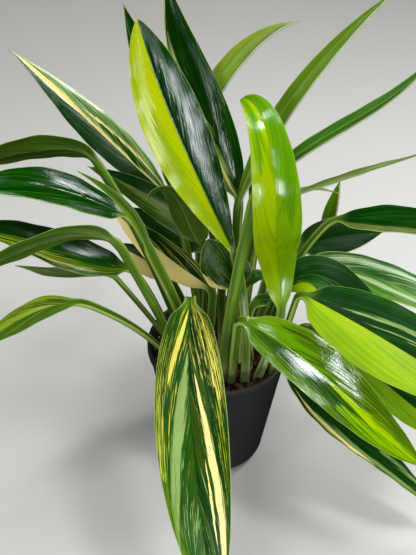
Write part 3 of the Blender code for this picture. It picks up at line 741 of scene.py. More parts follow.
@dataclass(frozen=True)
class Leaf:
    """One leaf: where its stalk springs, bows and ends, and its blade.

    root is on the soil, bow is the point that the stalk is drawn towards, heel
    is where the blade begins, and spine holds the points that its midrib runs
    through. facing is where the upper face looks at mid blade. fold is how
    steeply the halves rise from the midrib, in degrees, curl how far they bend
    back down, and wave how high the margins wave, in millimetres. widest is the
    share of its length where the blade is widest, and base is how slowly it
    opens there from its heel. width and stalk are the widths of the two.
    """

    name: str
    root: tuple[float, float]
    bow: Triple
    heel: Triple
    spine: tuple[Triple, ...]
    width: float
    facing: Triple
    look: LeafFinish
    fold: float = 18.0
    curl: float = 0.22
    wave: float = 1.2
    widest: float = 0.40
    base: float = 0.7
    stalk: float = 6.5

    def route(self) -> tuple[np.ndarray, np.ndarray, float]:
        """The line that the stalk and the midrib follow.

        Returns:
            Points, the distance along the line at each, and the distance to the heel.
        """
        root = np.array([*self.root, SOIL_TOP], float)
        bow, heel = np.array(self.bow, float), np.array(self.heel, float)
        axis = unit(bow - root)
        steps = np.linspace(0, 1, CURVE_STEPS)[:, None]
        stalk = (1 - steps) ** 2 * root + 2 * steps * (1 - steps) * bow + steps ** 2 * heel
        spine = np.array([self.heel, *self.spine], float)
        knots = distances(spine)
        curve = np.polyfit(knots / knots[-1], spine, len(spine) - 1)
        blade = sum(row * steps ** power for power, row in enumerate(curve[::-1]))
        points = np.concatenate([stalk, blade[1:]])
        along = distances(points)
        heel_at = along[CURVE_STEPS - 1]
        even = np.linspace(0, along[-1], ROUTE_STEPS)
        points = np.stack([np.interp(even, along, column) for column in points.T], 1)
        smooth = points.copy()
        reach = max(2, int(round(JOINT_LENGTH / 2 / (even[1] - even[0]))))
        for index in range(len(points)):
            span = min(reach, index, len(points) - 1 - index)
            smooth[index] = points[index - span:index + span + 1].mean(0)
        points = np.concatenate([[root - axis * ROOT_DEPTH], smooth])
        return points, distances(points), heel_at + ROOT_DEPTH

    def carried(self, points: np.ndarray, start: int) -> tuple[np.ndarray, np.ndarray]:
        """Tangents and face normals along the route, turned no more than it bends.

        Args:
            points: The route.
            start: The index at which the upper face looks where facing says.

        Returns:
            Tangents and normals.
        """
        tangents = unit(np.gradient(points, axis=0))
        normals = np.zeros_like(points)
        first = np.array(self.facing, float)
        normals[start] = unit(first - tangents[start] * (first @ tangents[start]))
        for indices in (range(start + 1, len(points)), range(start - 1, -1, -1)):
            held = normals[start]
            for index in indices:
                held = unit(held - tangents[index] * (held @ tangents[index]))
                normals[index] = held
        return tangents, normals

    def half_widths(self, share: np.ndarray) -> np.ndarray:
        """Half the blade's width at each share of its length."""
        fall = self.base * (1 - self.widest) / self.widest
        share = np.clip(share, 0.0, 1.0)
        return self.width / 2 * ((share / self.widest) ** self.base
                                 * ((1 - share) / (1 - self.widest)) ** fall)

    def sides(self) -> np.ndarray:
        """The columns of the grid, closer together at the midrib and the margins."""
        count = WIDE_COLUMNS if self.width >= WIDE_BLADE else NARROW_COLUMNS
        half = crowded(np.arange(count + 1) / count, pull=0.45)
        return np.concatenate([-half[:0:-1], half])

    @staticmethod
    def rows(heel_at: float, length: float) -> np.ndarray:
        """Where the rows of the grid stand along the route.

        Args:
            heel_at: Where the blade begins.
            length: The blade's length.

        Returns:
            Distances along the route.
        """
        count = int(min(MOST_ROWS, max(FEWEST_ROWS, length / ROW_LENGTH)))
        stalk = ROOT_DEPTH + (heel_at - ROOT_DEPTH) * np.linspace(0, 1, STALK_ROWS)
        blade = heel_at + length * crowded(np.linspace(0, 1, count)[1:], pull=0.4)
        return np.concatenate([[0.0], stalk, blade])

    def lift(self, side: np.ndarray, share: np.ndarray, run: np.ndarray, half: np.ndarray,
             vein: np.ndarray, number: int) -> np.ndarray:
        """How far the blade's upper face rises above its midrib's line.

        Args:
            side: Place between the margins, -1 to 1.
            share: Place between heel and tip.
            run: Millimetres from the heel.
            half: Half the width.
            vein: Place across the veins, in millimetres.
            number: The leaf's place in the list.

        Returns:
            Heights in millimetres: fold and curl, waves, pleats and midrib groove.
        """
        left = 1 - np.clip(share, 0, 1)
        ripple = self.wave * np.minimum(1.0, half / 12)
        ripple = ripple * np.sin(9 * share + 2 * self.width + (side > 0)) * side * side
        flutter = 0.4 * np.minimum(1.0, half / 10) * np.sin(run / 4.3 + number + 2 * side) * side ** 4
        fade = np.abs(side) ** 0.5 * (1 - np.abs(side)) ** 0.7 * left ** 0.4
        pleat = PLEAT_DEPTH * np.sin(vein * math.tau / PLEAT_LENGTH + number) * fade
        groove = GROOVE_DEPTH * np.exp(-(side * half / GROOVE_REACH) ** 2) * left
        fold = np.abs(side) * math.sin(math.radians(self.fold)) - self.curl * side * side
        return half * fold + ripple + flutter + pleat - groove

    def thickness(self, side: np.ndarray, share: np.ndarray, opening: np.ndarray) -> np.ndarray:
        """The leaf's thickness: a thick stalk, and a blade with a rib and thin margins."""
        stalk = EDGE_THICKNESS + (STALK_DEPTH * self.stalk - EDGE_THICKNESS) * np.sqrt(1 - side * side)
        rib = np.maximum(0, 1 - np.abs(side) / RIB_REACH) * np.maximum(0, 1 - share)
        blade = BLADE_THICKNESS + RIB_THICKNESS * rib - MARGIN_THINNING * side ** 6
        return stalk * (1 - opening) + blade * opening

    def build(self, number: int) -> Mesh:
        """Make the leaf and its colouring coordinates.

        Args:
            number: The leaf's place in the list, which varies its pattern.

        Returns:
            The closed mesh, with the layers place, span and rim.
        """
        points, along, heel_at = self.route()
        length = along[-1] - heel_at
        middle = int(np.searchsorted(along, heel_at + length * 0.5))
        tangents, normals = self.carried(points, middle)
        rows = self.rows(heel_at, length)
        centre, tangent, normal = (np.stack([np.interp(rows, along, column) for column in table.T], 1)
                                   for table in (points, tangents, normals))
        tangent, normal = unit(tangent)[:, None, :], unit(normal)[:, None, :]
        side = self.sides()[None, :]
        share, run = ((rows - heel_at) / length)[:, None], (rows - heel_at)[:, None]
        opening = eased(np.clip(run / JOINT_LENGTH, 0, 1))
        half = np.maximum(self.half_widths(share), TIP_HALF)
        half = self.stalk / 2 * (1 - opening) + half * opening
        vein = run + self.width / 2 / (0.8 * math.tan(VEIN_ANGLE)) * np.log(1 - 0.8 * np.abs(side))
        hollow = (0.20 + 0.15 * side * side) * self.stalk
        lift = hollow * (1 - opening) + self.lift(side, share, run, half, vein, number) * opening
        out = half * side * (1 - opening + math.cos(math.radians(self.fold)) * opening)
        upper = centre[:, None, :] + np.cross(normal, tangent) * out[..., None] + normal * lift[..., None]
        down = np.cross(np.gradient(upper, axis=0), np.gradient(upper, axis=1))
        down = down / (np.linalg.norm(down, axis=2, keepdims=True) + 1e-12)
        down = down * -np.sign((down * normal).sum(2, keepdims=True))
        lower = upper + down * self.thickness(side, share, opening)[..., None]
        layers = {
            "place": (side, share, opening),
            "span": (half * side, run, vein),
            "rim": (half * (1 - np.abs(side)), 0.0, number * SEED_STEP),
        }
        return sheet(upper, lower, layers)


def sheet(upper: np.ndarray, lower: np.ndarray, layers: dict) -> Mesh:
    """A closed thin form between two grids of points.

    Args:
        upper: The upper face's points, in millimetres, as rows and columns.
        lower: The lower face's.
        layers: Vertex layers by name, each three grids of numbers.

    Returns:
        The mesh. The second number of the layer rim is 1 on the lower face.
    """
    rows, columns = upper.shape[:2]
    made = bmesh.new()
    bmesh.ops.create_grid(made, x_segments=columns - 1, y_segments=rows - 1, size=1.0)
    cell = made.verts.layers.int.new("cell")
    for vert in made.verts:
        row, column = round((vert.co.y + 1) / 2 * (rows - 1)), round((vert.co.x + 1) / 2 * (columns - 1))
        vert[cell] = row * columns + column
    bmesh.ops.extrude_face_region(made, geom=made.faces[:], use_keep_orig=True)
    seen: set[int] = set()
    stored = {name: made.verts.layers.float_vector.new(name) for name in layers}
    grids = {name: np.stack([np.broadcast_to(part, (rows, columns)) for part in parts], 2).reshape(-1, 3)
             for name, parts in layers.items()}
    faces = (upper.reshape(-1, 3) * MM, lower.reshape(-1, 3) * MM)
    for vert in made.verts:
        index = vert[cell]
        under = index in seen
        seen.add(index)
        vert.co = faces[under][index]
        for name, layer in stored.items():
            vert[layer] = grids[name][index]
        if under:
            vert[stored["rim"]].y = 1.0
    made.verts.layers.int.remove(made.verts.layers.int["cell"])
    bmesh.ops.recalc_face_normals(made, faces=made.faces[:])
    if made.calc_volume(signed=True) < 0:
        bmesh.ops.reverse_faces(made, faces=made.faces[:])
    return made


LEAVES = (
    # Front
    Leaf("leaf_front_hanging", (-19, -31), (-24, -24, 196), (-25, -35, 218),
         ((-23, -110, 184), (-15, -165, 138), (2, -212, 43)),
         58, (0, -1, 0.3), HANGING, fold=14, wave=1.5, stalk=8, base=0.5),
    Leaf("leaf_front_lime", (13, -39), (14, -40, 178), (15, -52, 209),
         ((60, -80, 200), (101, -110, 181), (159, -145, 145)),
         49, (0, -0.3, 1), FRONT_LIME, stalk=8, base=0.55),
    Leaf("leaf_front_low", (48, -28), (52, -36, 165), (51, -46, 164),
         ((95, -67, 114), (141, -88, 85), (201, -110, 36)),
         42, (0.2, 0.1, 1), FRONT_LOW, base=0.5),
    Leaf("leaf_right_large", (50, -18), (62, -16, 180), (66, -15, 207),
         ((99, -35, 202), (145, -65, 193), (212, -105, 172)),
         70, (0, -0.5, 1), RIGHT_LARGE, stalk=7, widest=0.46, base=0.6),
    Leaf("leaf_right_under", (50, -6), (60, -8, 150), (78, -10, 166),
         ((112, -22, 146), (154, -40, 120), (213, -60, 78)),
         46, (0, -0.3, 1), RIGHT_UNDER, widest=0.5),
    # Centre
    Leaf("leaf_middle_lime", (36, -33), (45, -28, 152), (54, -10, 179),
         ((43, -20, 265), (32, -34, 353), (22, -16, 377), (10, 6, 375)),
         40, (0.1, -1, 0.4), MIDDLE_LIME, stalk=7, widest=0.48, base=0.55),
    Leaf("leaf_tall_lime", (24, -38), (24, -31, 190), (12, -12, 240),
         ((-25, -12, 327), (-48, -15, 391), (-62, -20, 444)),
         48, (0, -1, 0.5), TALL_LIME, stalk=7, widest=0.58, base=1.1),
    Leaf("leaf_tall_twin", (3, 8), (1, 10, 200), (-1, 12, 259),
         ((-37, 10, 337), (-73, 0, 446)),
         34, (0, -1, 0.4), TALL_TWIN),
    Leaf("leaf_top_dark", (8, 18), (12, 30, 210), (14, 32, 266),
         ((-12, 35, 339), (-34, 33, 400), (-46, 25, 457)),
         36, (0.2, -1, 0.4), TOP_DARK),
    Leaf("leaf_tall_stalk", (4, -38), (7, -38, 210), (25, -8, 300),
         ((58, 10, 329), (101, 15, 359), (149, 10, 417)),
         13, (0.2, 1, 0.1), TALL_STALK, stalk=9),
    Leaf("leaf_speckled", (3, -4), (10, -7, 160), (15, -9, 201),
         ((1, -7, 230), (-12, -5, 254)),
         44, (-0.2, -1, 0.3), SPECKLED, base=0.5),
    # Left
    Leaf("leaf_cream", (-9, 0), (-7, -1, 170), (-6, -2, 197),
         ((-48, 12, 222), (-92, 20, 263)),
         30, (0, -1, 0.3), CREAM_LEAF),
    Leaf("leaf_left_glossy", (-24, -8), (-52, -17, 240), (-73, -30, 292),
         ((-103, -40, 315), (-129, -48, 329), (-195, -60, 330)),
         36, (0, -0.3, 1), LEFT_GLOSSY, stalk=8, base=0.8),
    Leaf("leaf_spear", (-17, -14), (-41, -26, 215), (-57, -40, 267),
         ((-73, -45, 311), (-104, -55, 347)),
         10, (0.6, -1, 0.4), SPEAR, fold=40, wave=0, stalk=8),
    Leaf("leaf_left_high", (-29, 1), (-66, -8, 265), (-97, -10, 325),
         ((-102, -12, 335), (-134, -15, 341), (-212, -27, 341)),
         30, (0, 1, 0.5), HIGH_OLIVE, base=0.8),
    Leaf("leaf_upper_left", (-19, 33), (-28, 34, 220), (-45, 36, 267),
         ((-80, 38, 303), (-124, 38, 352), (-163, 34, 396)),
         34, (0.2, -0.6, 1), UPPER_LEFT, base=0.8),
    Leaf("leaf_left_narrow", (-13, 19), (-12, 18, 190), (-14, 16, 232),
         ((-66, 20, 280), (-110, 18, 306)),
         26, (0.1, -1, 0.6), LEFT_NARROW),
    Leaf("leaf_curled", (-8, 10), (-10, 6, 190), (-13, 5, 239),
         ((-31, -1, 277), (-48, -7, 305), (-61, -9, 294)),
         36, (0.3, 0.8, 0.5), PLAIN_CURLED),
    Leaf("leaf_behind_left", (-6, 36), (-7, 48, 180), (-12, 50, 198),
         ((-51, 52, 225), (-82, 52, 244)),
         28, (0.1, -1, 0.6), PLAIN_DARK),
    Leaf("leaf_left_wide", (-38, -4), (-53, -21, 200), (-71, -36, 245),
         ((-122, -48, 271), (-165, -56, 293), (-199, -60, 298)),
         44, (0, -0.1, 1), LEFT_WIDE),
    Leaf("leaf_left_arched", (-34, -13), (-57, -42, 220), (-78, -62, 290),
         ((-93, -68, 302), (-127, -80, 304), (-200, -92, 271)),
         28, (0, 1, 0.6), ARCHED, base=0.8),
    Leaf("leaf_left_small", (-43, 4), (-66, -10, 180), (-90, -25, 232),
         ((-129, -30, 234), (-166, -32, 243)),
         24, (0, 0.3, 1), PALE),
    Leaf("leaf_left_low", (-40, -20), (-63, -42, 190), (-107, -70, 238),
         ((-133, -80, 241), (-168, -92, 226), (-204, -105, 207)),
         25, (0, -0.1, 1), LEFT_LOW, base=0.8),
    Leaf("leaf_left_inner", (-24, 20), (-31, 23, 160), (-45, 24, 186),
         ((-71, 24, 210), (-97, 24, 225)),
         24, (0, -1, 0.6), LEFT_INNER),
    # Right
    Leaf("leaf_right_dark", (43, 4), (48, 7, 160), (56, 8, 184),
         ((76, 11, 207), (111, 3, 197), (153, -18, 173)),
         37, (0, -0.6, 1), RIGHT_DARK, fold=10, curl=0.12),
    Leaf("leaf_right_streaked", (48, 13), (58, 20, 175), (71, 28, 204),
         ((112, 32, 197), (160, 18, 190), (231, -6, 165)),
         44, (0, -0.2, 1), RIGHT_STREAKED),
    Leaf("leaf_right_inner", (34, 25), (50, 46, 170), (69, 62, 191),
         ((92, 70, 199), (121, 82, 198), (157, 95, 193)),
         39, (0, -0.7, 1), RIGHT_INNER),
    Leaf("leaf_right_high", (41, 20), (62, 36, 205), (99, 60, 230),
         ((135, 50, 240), (171, 35, 246), (224, 10, 249)),
         36, (0, -0.2, 1), RIGHT_HIGH),
    Leaf("leaf_young_upright", (42, 30), (60, 65, 195), (99, 102, 174),
         ((105, 102, 214), (109, 100, 248)),
         14, (-0.5, -1, 0), YOUNG),
    Leaf("leaf_thin_arc", (20, 40), (28, 52, 190), (36, 60, 234),
         ((70, 75, 251), (106, 85, 243)),
         16, (0, 0.3, 1), PALE),
    Leaf("leaf_thin_right", (24, 24), (30, 34, 200), (34, 40, 251),
         ((81, 50, 273), (127, 50, 292), (170, 45, 314)),
         16, (0, 0.2, 1), PALE),
    # Top
    Leaf("leaf_top_right", (14, 3), (12, 6, 200), (11, 10, 276),
         ((26, 12, 326), (65, 15, 399), (116, 12, 459)),
         16, (0.6, 0.8, -0.2), TOP_RIGHT),
    Leaf("leaf_top_middle", (5, 42), (-7, 61, 225), (-30, 54, 318),
         ((-4, 57, 369), (21, 57, 399), (52, 52, 416)),
         19, (0.5, 0.7, -0.3), TOP_MIDDLE),
    # Small leaves inside the plant
    Leaf("leaf_inner_low", (30, -8), (26, -3, 150), (27, -2, 177),
         ((37, 2, 184), (47, 4, 182)),
         15, (0, -0.6, 1), INNER),
    Leaf("leaf_inner_arched", (19, -12), (20, 0, 170), (22, 4, 193),
         ((30, 5, 209), (46, 8, 204)),
         14, (0, -0.3, 1), INNER),
    # Back, hidden in the front view
    Leaf("leaf_back_left", (-17, 48), (-20, 66, 170), (-22, 74, 210),
         ((-34, 105, 240), (-40, 150, 225), (-40, 195, 180)),
         44, (0, 0.4, 1), PLAIN_DARK),
    Leaf("leaf_back_middle", (13, 50), (24, 60, 180), (35, 70, 215),
         ((46, 110, 238), (54, 150, 222), (62, 195, 172)),
         46, (0, 0.4, 1), BACK_STREAKED),
    Leaf("leaf_back_right", (35, 38), (48, 66, 200), (64, 88, 172),
         ((88, 116, 160), (106, 140, 136), (120, 165, 95)),
         40, (0.3, 0.3, 1), PLAIN_DARK),
)


class Foliage:
    """All the leaves, each standing for its solid."""

    def build(self) -> None:
        """Make every leaf, dress it and hand it over."""
        slots = {part["node"]: part["material_slot"] for part in frame["record"]["subparts"]}
        finishes: dict[str, Material] = {}
        for number, leaf in enumerate(LEAVES):
            if leaf.look.name not in finishes:
                finishes[leaf.look.name] = leaf.look.make()
            name, finish = leaf.name.replace("leaf_", "blade_"), finishes[leaf.look.name]
            piece = show(name, leaf.build(number), finish, sharp=50)
            hand_over(piece, slots[leaf.name], leaf.name)


@dataclass
class Pot:
    """The tapered nursery pot with its rolled lip and its drain holes."""

    rim_radius: float = 65.0
    height: float = 134.0
    base_radius: float = 46.5
    rounding: float = 9.0
    wall: float = 1.6
    floor: float = 2.0
    lip_height: float = 6.0
    lip_step: float = 1.4
    steps: int = 144
    drains: int = 6
    drain_radius: float = 4.5
    drain_ring: float = 29.0

    def radius(self, height: float) -> float:
        """The wall's outer radius at a height."""
        return self.base_radius + (self.rim_radius - self.lip_step - self.base_radius) * height / self.height

    @staticmethod
    def arc(centre: tuple[float, float], reach: float, start: float, end: float,
            steps: int = 5) -> list[tuple[float, float]]:
        """Points round a rounding, from one angle to another in degrees."""
        angles = (math.radians(start + (end - start) * step / steps) for step in range(steps + 1))
        return [(centre[0] + reach * math.cos(a), centre[1] + reach * math.sin(a)) for a in angles]

    def profile(self) -> list[tuple[float, float]]:
        """The closed section of the wall, as (radius, height)."""
        foot = self.height - self.lip_height
        outer = self.rim_radius
        inner = outer - self.lip_step - self.wall
        bottom = self.radius(self.rounding) - self.rounding
        line = [(0.0, 1.2), (24.0, 1.2), (24.6, 0.4), (25.4, 0.0)]
        line += self.arc((bottom, self.rounding), self.rounding, -90, 0, 8)
        line += [(self.radius(z), z) for z in (20, 40, 60, 80, 100, 118)]
        line += [(self.radius(foot) - 0.1, foot - 0.5), (self.radius(foot) + 0.3, foot)]
        line += self.arc((outer - 0.7, foot + 0.7), 0.7, -80, 0)
        line += [(outer + 0.05, foot + 3)]
        line += self.arc((outer - 1.0, self.height - 1.0), 1.0, 0, 90)
        line += self.arc((inner + 1.0, self.height - 1.0), 1.0, 90, 180)
        line += [(self.radius(foot) - self.wall, foot - 1), (self.radius(60) - self.wall, 60)]
        line += self.arc((bottom - self.wall + 1, self.rounding + self.floor), self.rounding - 1, 0, -90, 6)
        line += [(0.0, self.floor)]
        return line

    def finish(self) -> Material:
        """Dark grey moulded plastic, satin, with dust and fine scuffs."""
        graph = Graph("pot_dark_plastic")
        place = graph.place()
        x, y, z = graph.parts(place)
        grain = graph.noise(place, 0.9, 4, 0.6)
        drawn = graph.noise(graph.vector(x / 3, y / 3, z / 90), detail=3)
        patch = graph.noise(place, 0.045, 3)
        scuff = graph.smooth(graph.noise(graph.vector(x / 1.4, y / 1.4, z / 14)), 0.64, 0.74)
        low = 1 - graph.smooth(z + patch * 30, 8, 44)
        dust = graph.smooth(graph.noise(place, 0.35, 5, 0.7), 0.5, 0.72) * (low * 0.8 + 0.12)
        colour = graph.mix(scuff * 0.35, Hue.PLASTIC, Hue.SCUFF)
        colour = graph.mix(dust * 0.6, colour, Hue.CRUMB)
        colour = graph.tone(colour, 0.84 + patch * 0.3)
        shine = 0.34 + grain * 0.12 + patch * 0.1 + scuff * 0.1 + dust * 0.2
        return graph.finish(colour, shine, grain * 0.035 + drawn * 0.12 + dust * 0.05, specular=0.5)

    def build(self) -> None:
        """Make the pot, cut its drain holes and hand it over."""
        pot = show("pot_moulded", spun(self.profile(), self.steps), self.finish(), sharp=40)
        cutter_mesh = bmesh.new()
        for index in range(self.drains):
            angle = math.tau * index / self.drains
            place = Vector((math.cos(angle), math.sin(angle), 0)) * self.drain_ring
            bmesh.ops.create_cone(cutter_mesh, cap_ends=True, segments=32, radius1=self.drain_radius * MM,
                                  radius2=self.drain_radius * MM, depth=12 * MM,
                                  matrix=Matrix.Translation(place * MM))
        cutter = show("drain_cutter", cutter_mesh, pot.data.materials[0], sharp=40)
        hole = pot.modifiers.new("drains", "BOOLEAN")
        hole.solver = "EXACT"
        hole.object = cutter
        graph = bpy.context.evaluated_depsgraph_get()
        cut = bpy.data.meshes.new_from_object(pot.evaluated_get(graph))
        pot.modifiers.clear()
        pot.data = cut
        bpy.data.objects.remove(cutter)
        hand_over(pot, "pot_plastic", "pot")


@dataclass
class Soil:
    """The lumpy soil with its bark, fibres and perlite."""

    radius: float = 60.5
    rings: int = 44
    sides: int = 150
    chips: int = 330
    fibres: int = 130
    grains: int = 80
    draws: random.Random = field(default_factory=lambda: random.Random(41))

    def height(self, x: float, y: float) -> float:
        """The soil's top at a place, with its lumps."""
        near_wall = min(1.0, max(0.0, (self.radius - math.hypot(x, y)) / 8))
        lumps = noise.fractal(Vector((x, y, 3.0)) * 0.16, 0.9, 2.1, 4)
        return SOIL_TOP + (soil_height(x, y) - SOIL_TOP + 1.3 * lumps) * near_wall

    def finish(self) -> Material:
        """Damp, dark, crumbly soil."""
        graph = Graph("soil_damp")
        place = graph.place()
        lump = graph.noise(place, 0.28, 5, 0.7)
        crumb = graph.noise(place, 1.3, 4, 0.7)
        colour = graph.mix(graph.smooth(lump, 0.38, 0.68), Hue.SOIL, Hue.CRUMB)
        colour = graph.tone(colour, 0.55 + crumb * 0.9)
        return graph.finish(colour, 0.7 + crumb * 0.3, crumb * 1.1 + lump * 1.2, specular=0.3)

    def woody(self, name: str, light: Hue, deep: Hue, stretch: Triple) -> Material:
        """Bark or fibre, streaked along its grain.

        Args:
            name: The material's name.
            light: The paler colour.
            deep: The darker colour.
            stretch: How the streaks are stretched.

        Returns:
            The material.
        """
        graph = Graph(name)
        place = graph.place()
        patch = graph.noise(place, 0.24, 2)
        x, y, z = graph.parts(place)
        streak = graph.noise(graph.vector(x * stretch[0], y * stretch[1], z * stretch[2]), 1.0, 4, 0.65)
        colour = graph.mix(graph.smooth(patch + (streak - 0.5) * 0.5, 0.36, 0.66), deep, light)
        colour = graph.tone(colour, 0.6 + streak * 0.8)
        return graph.finish(colour, 0.62 + streak * 0.3, streak * 0.5, specular=0.35)

    def perlite_finish(self) -> Material:
        """White, porous grains with soil on them."""
        graph = Graph("perlite_white")
        place = graph.place()
        pore = graph.noise(place, 2.2, 4, 0.7)
        colour = graph.mix(graph.smooth(pore, 0.5, 0.68), Hue.PERLITE, Hue.HUSK)
        return graph.finish(colour, 0.8 + pore * 0.15, pore * 0.6, specular=0.3)

    def free_place(self, reach: float) -> tuple[float, float]:
        """A place on the soil clear of stalks and wall.

        Args:
            reach: How far what lies there reaches.

        Returns:
            x and y.
        """
        standing = [(*leaf.root, leaf.stalk * 0.64) for leaf in LEAVES]
        standing += [(*crown.place, 6.0) for crown in CROWNS]
        while True:
            angle, out = self.draws.uniform(0, math.tau), self.radius * math.sqrt(self.draws.random()) - reach
            x, y = out * math.cos(angle), out * math.sin(angle)
            if out > 0 and all(math.hypot(x - a, y - b) > r + reach * 0.6 for a, b, r in standing):
                return x, y

    def surface(self) -> Mesh:
        """The soil as one closed body.

        Returns:
            The mesh.
        """
        made = bmesh.new()
        bmesh.ops.create_circle(made, cap_ends=False, segments=self.sides, radius=self.radius * MM)
        rim = made.edges[:]
        ring = rim
        for step in range(1, self.rings):
            ring = self.grow(made, ring, (self.rings - step) / (self.rings - step + 1), 0.0)
        bmesh.ops.contextual_create(made, geom=ring)
        for vert in made.verts:
            vert.co.z = self.height(vert.co.x / MM, vert.co.y / MM) * MM
        ring, radius = rim, self.radius
        for wanted, height in ((58.0, 100.0), (49.0, 30.0), (45.5, 11.5), (38.5, 2.4)):
            ring = self.grow(made, ring, wanted / radius, height)
            radius = wanted
        bmesh.ops.contextual_create(made, geom=ring)
        bmesh.ops.recalc_face_normals(made, faces=made.faces[:])
        return made

    def grow(self, made: Mesh, ring: list, scale: float, height: float) -> list:
        """Extrude a ring of edges and scale it.

        Args:
            made: The mesh.
            ring: The edges.
            scale: The new ring's size over the old one's.
            height: Its height, in millimetres.

        Returns:
            The new ring's edges.
        """
        grown = bmesh.ops.extrude_edge_only(made, edges=ring)["geom"]
        verts = [part for part in grown if isinstance(part, bmesh.types.BMVert)]
        bmesh.ops.scale(made, vec=(scale, scale, 1), verts=verts)
        for vert in verts:
            vert.co.z = height * MM
        return [part for part in grown if isinstance(part, bmesh.types.BMEdge)]

    def scatter(self, made: Mesh, verts: list, size: Triple, jitter: float, sink: float) -> None:
        """Turn a raw lump into one piece lying on the soil.

        Args:
            made: The mesh.
            verts: The lump's vertices, of unit size at the origin.
            size: Its length, width and thickness.
            jitter: How uneven it is, as a share of its size.
            sink: How deep it lies, as a share of its thickness.
        """
        for vert in verts:
            vert.co *= 1 + self.draws.uniform(-jitter, jitter)
        tilt = Matrix.Rotation(self.draws.uniform(0, math.tau), 4, "Z")
        for spread, axis in ((0.32, "X"), (0.25, "Y")):
            tilt = tilt @ Matrix.Rotation(self.draws.gauss(0, spread), 4, axis)
        x, y = self.free_place(max(size) / 2)
        spot = Vector((x, y, self.height(x, y) + size[2] * (0.5 - sink)))
        shape = tilt @ Matrix.Diagonal((*(part * MM for part in size), 1.0))
        bmesh.ops.transform(made, matrix=Matrix.Translation(spot * MM) @ shape, verts=verts)

    def bark(self) -> Mesh:
        """Flat, broken chips of bark."""
        made = bmesh.new()
        for _ in range(self.chips):
            chip = bmesh.ops.create_cube(made, size=1.0)["verts"]
            edges = list({edge for vert in chip for edge in vert.link_edges})
            cut = bmesh.ops.bevel(made, geom=edges, offset=0.16, segments=1, profile=0.5, affect="EDGES",
                                  material=-1)
            verts = list({vert for face in cut["faces"] for vert in face.verts})
            length = self.draws.uniform(2.2, 8.5)
            size = (length, length * self.draws.uniform(0.35, 0.8), self.draws.uniform(0.7, 2.0))
            self.scatter(made, verts, size, 0.2, 0.15)
        bmesh.ops.recalc_face_normals(made, faces=made.faces[:])
        return made

    def perlite(self) -> Mesh:
        """Small white grains."""
        made = bmesh.new()
        for _ in range(self.grains):
            grain = bmesh.ops.create_icosphere(made, subdivisions=1, radius=0.5)["verts"]
            across = self.draws.uniform(1.0, 2.9)
            self.scatter(made, grain, (across, across * 0.85, across * 0.8), 0.18, 0.2)
        return made

    def coir(self) -> Mesh:
        """Loose bent fibres.

        Returns:
            The mesh.
        """
        made = bmesh.new()
        for _ in range(self.fibres):
            x, y = self.free_place(4)
            heading, bend = self.draws.uniform(0, math.tau), self.draws.gauss(0, 0.35)
            steps = self.draws.randint(5, 9)
            thick = self.draws.uniform(0.16, 0.4)
            base = self.draws.uniform(0.3, 1.4)
            route = []
            for step in range(steps + 1):
                rise = base + 1.6 * math.sin(math.pi * step / steps)
                route.append(Vector((x, y, self.height(x, y) + rise)))
                x, y = x + 1.9 * math.cos(heading), y + 1.9 * math.sin(heading)
                heading += bend
            if math.hypot(x, y) < self.radius - 2:
                sweep(made, route, thick)
        bmesh.ops.recalc_face_normals(made, faces=made.faces[:])
        return made

    def build(self) -> None:
        """Make the soil and what lies on it."""
        hand_over(show("soil_surface", self.surface(), self.finish(), sharp=180), "potting_soil", "soil")
        bark = self.woody("bark_chips", Hue.BARK, Hue.SOIL, (0.5, 1.4, 1.1))
        husk = self.woody("coir_fibre", Hue.HUSK, Hue.BARK, (0.6, 0.6, 0.6))
        for name, make, finish, sharp in (("soil_bark", self.bark, bark, 35),
                                          ("soil_fibres", self.coir, husk, 60),
                                          ("soil_perlite", self.perlite, self.perlite_finish(), 25)):
            hand_over(show(name, make(), finish, sharp), "potting_soil")


def sweep(made: Mesh, route: Sequence[Vector], radius: float, sides: int = 5) -> None:
    """Add a thin tube with tapered ends.

    Args:
        made: The mesh.
        route: The points it follows, in millimetres.
        radius: Its radius in the middle.
        sides: How many sides it has.
    """
    ring: list = []
    for index, point in enumerate(route):
        before, after = route[max(index - 1, 0)], route[min(index + 1, len(route) - 1)]
        turn = (after - before).to_track_quat("Z", "Y").to_matrix().to_4x4()
        wide = radius * (0.35 if index in (0, len(route) - 1) else 1.0)
        made_ring = bmesh.ops.create_circle(made, cap_ends=False, segments=sides, radius=wide * MM,
                                            matrix=Matrix.Translation(point * MM) @ turn)["verts"]
        edges = list({edge for vert in made_ring for edge in vert.link_edges})
        if ring:
            bmesh.ops.bridge_loops(made, edges=ring + edges)
        if index in (0, len(route) - 1):
            bmesh.ops.contextual_create(made, geom=edges)
        ring = edges


@dataclass(frozen=True)
class Crown:
    """A short jointed stem: its place on the soil and how far it stands out."""

    name: str
    place: tuple[float, float]
    height: float


CROWNS = (
    Crown("crown_front", (10, -27), 10),
    Crown("crown_right", (26, -24), 8),
    Crown("crown_left", (-27, -22), 9),
    Crown("crown_middle", (12, 30), 16),
    Crown("crown_far", (28, 46), 14),
)


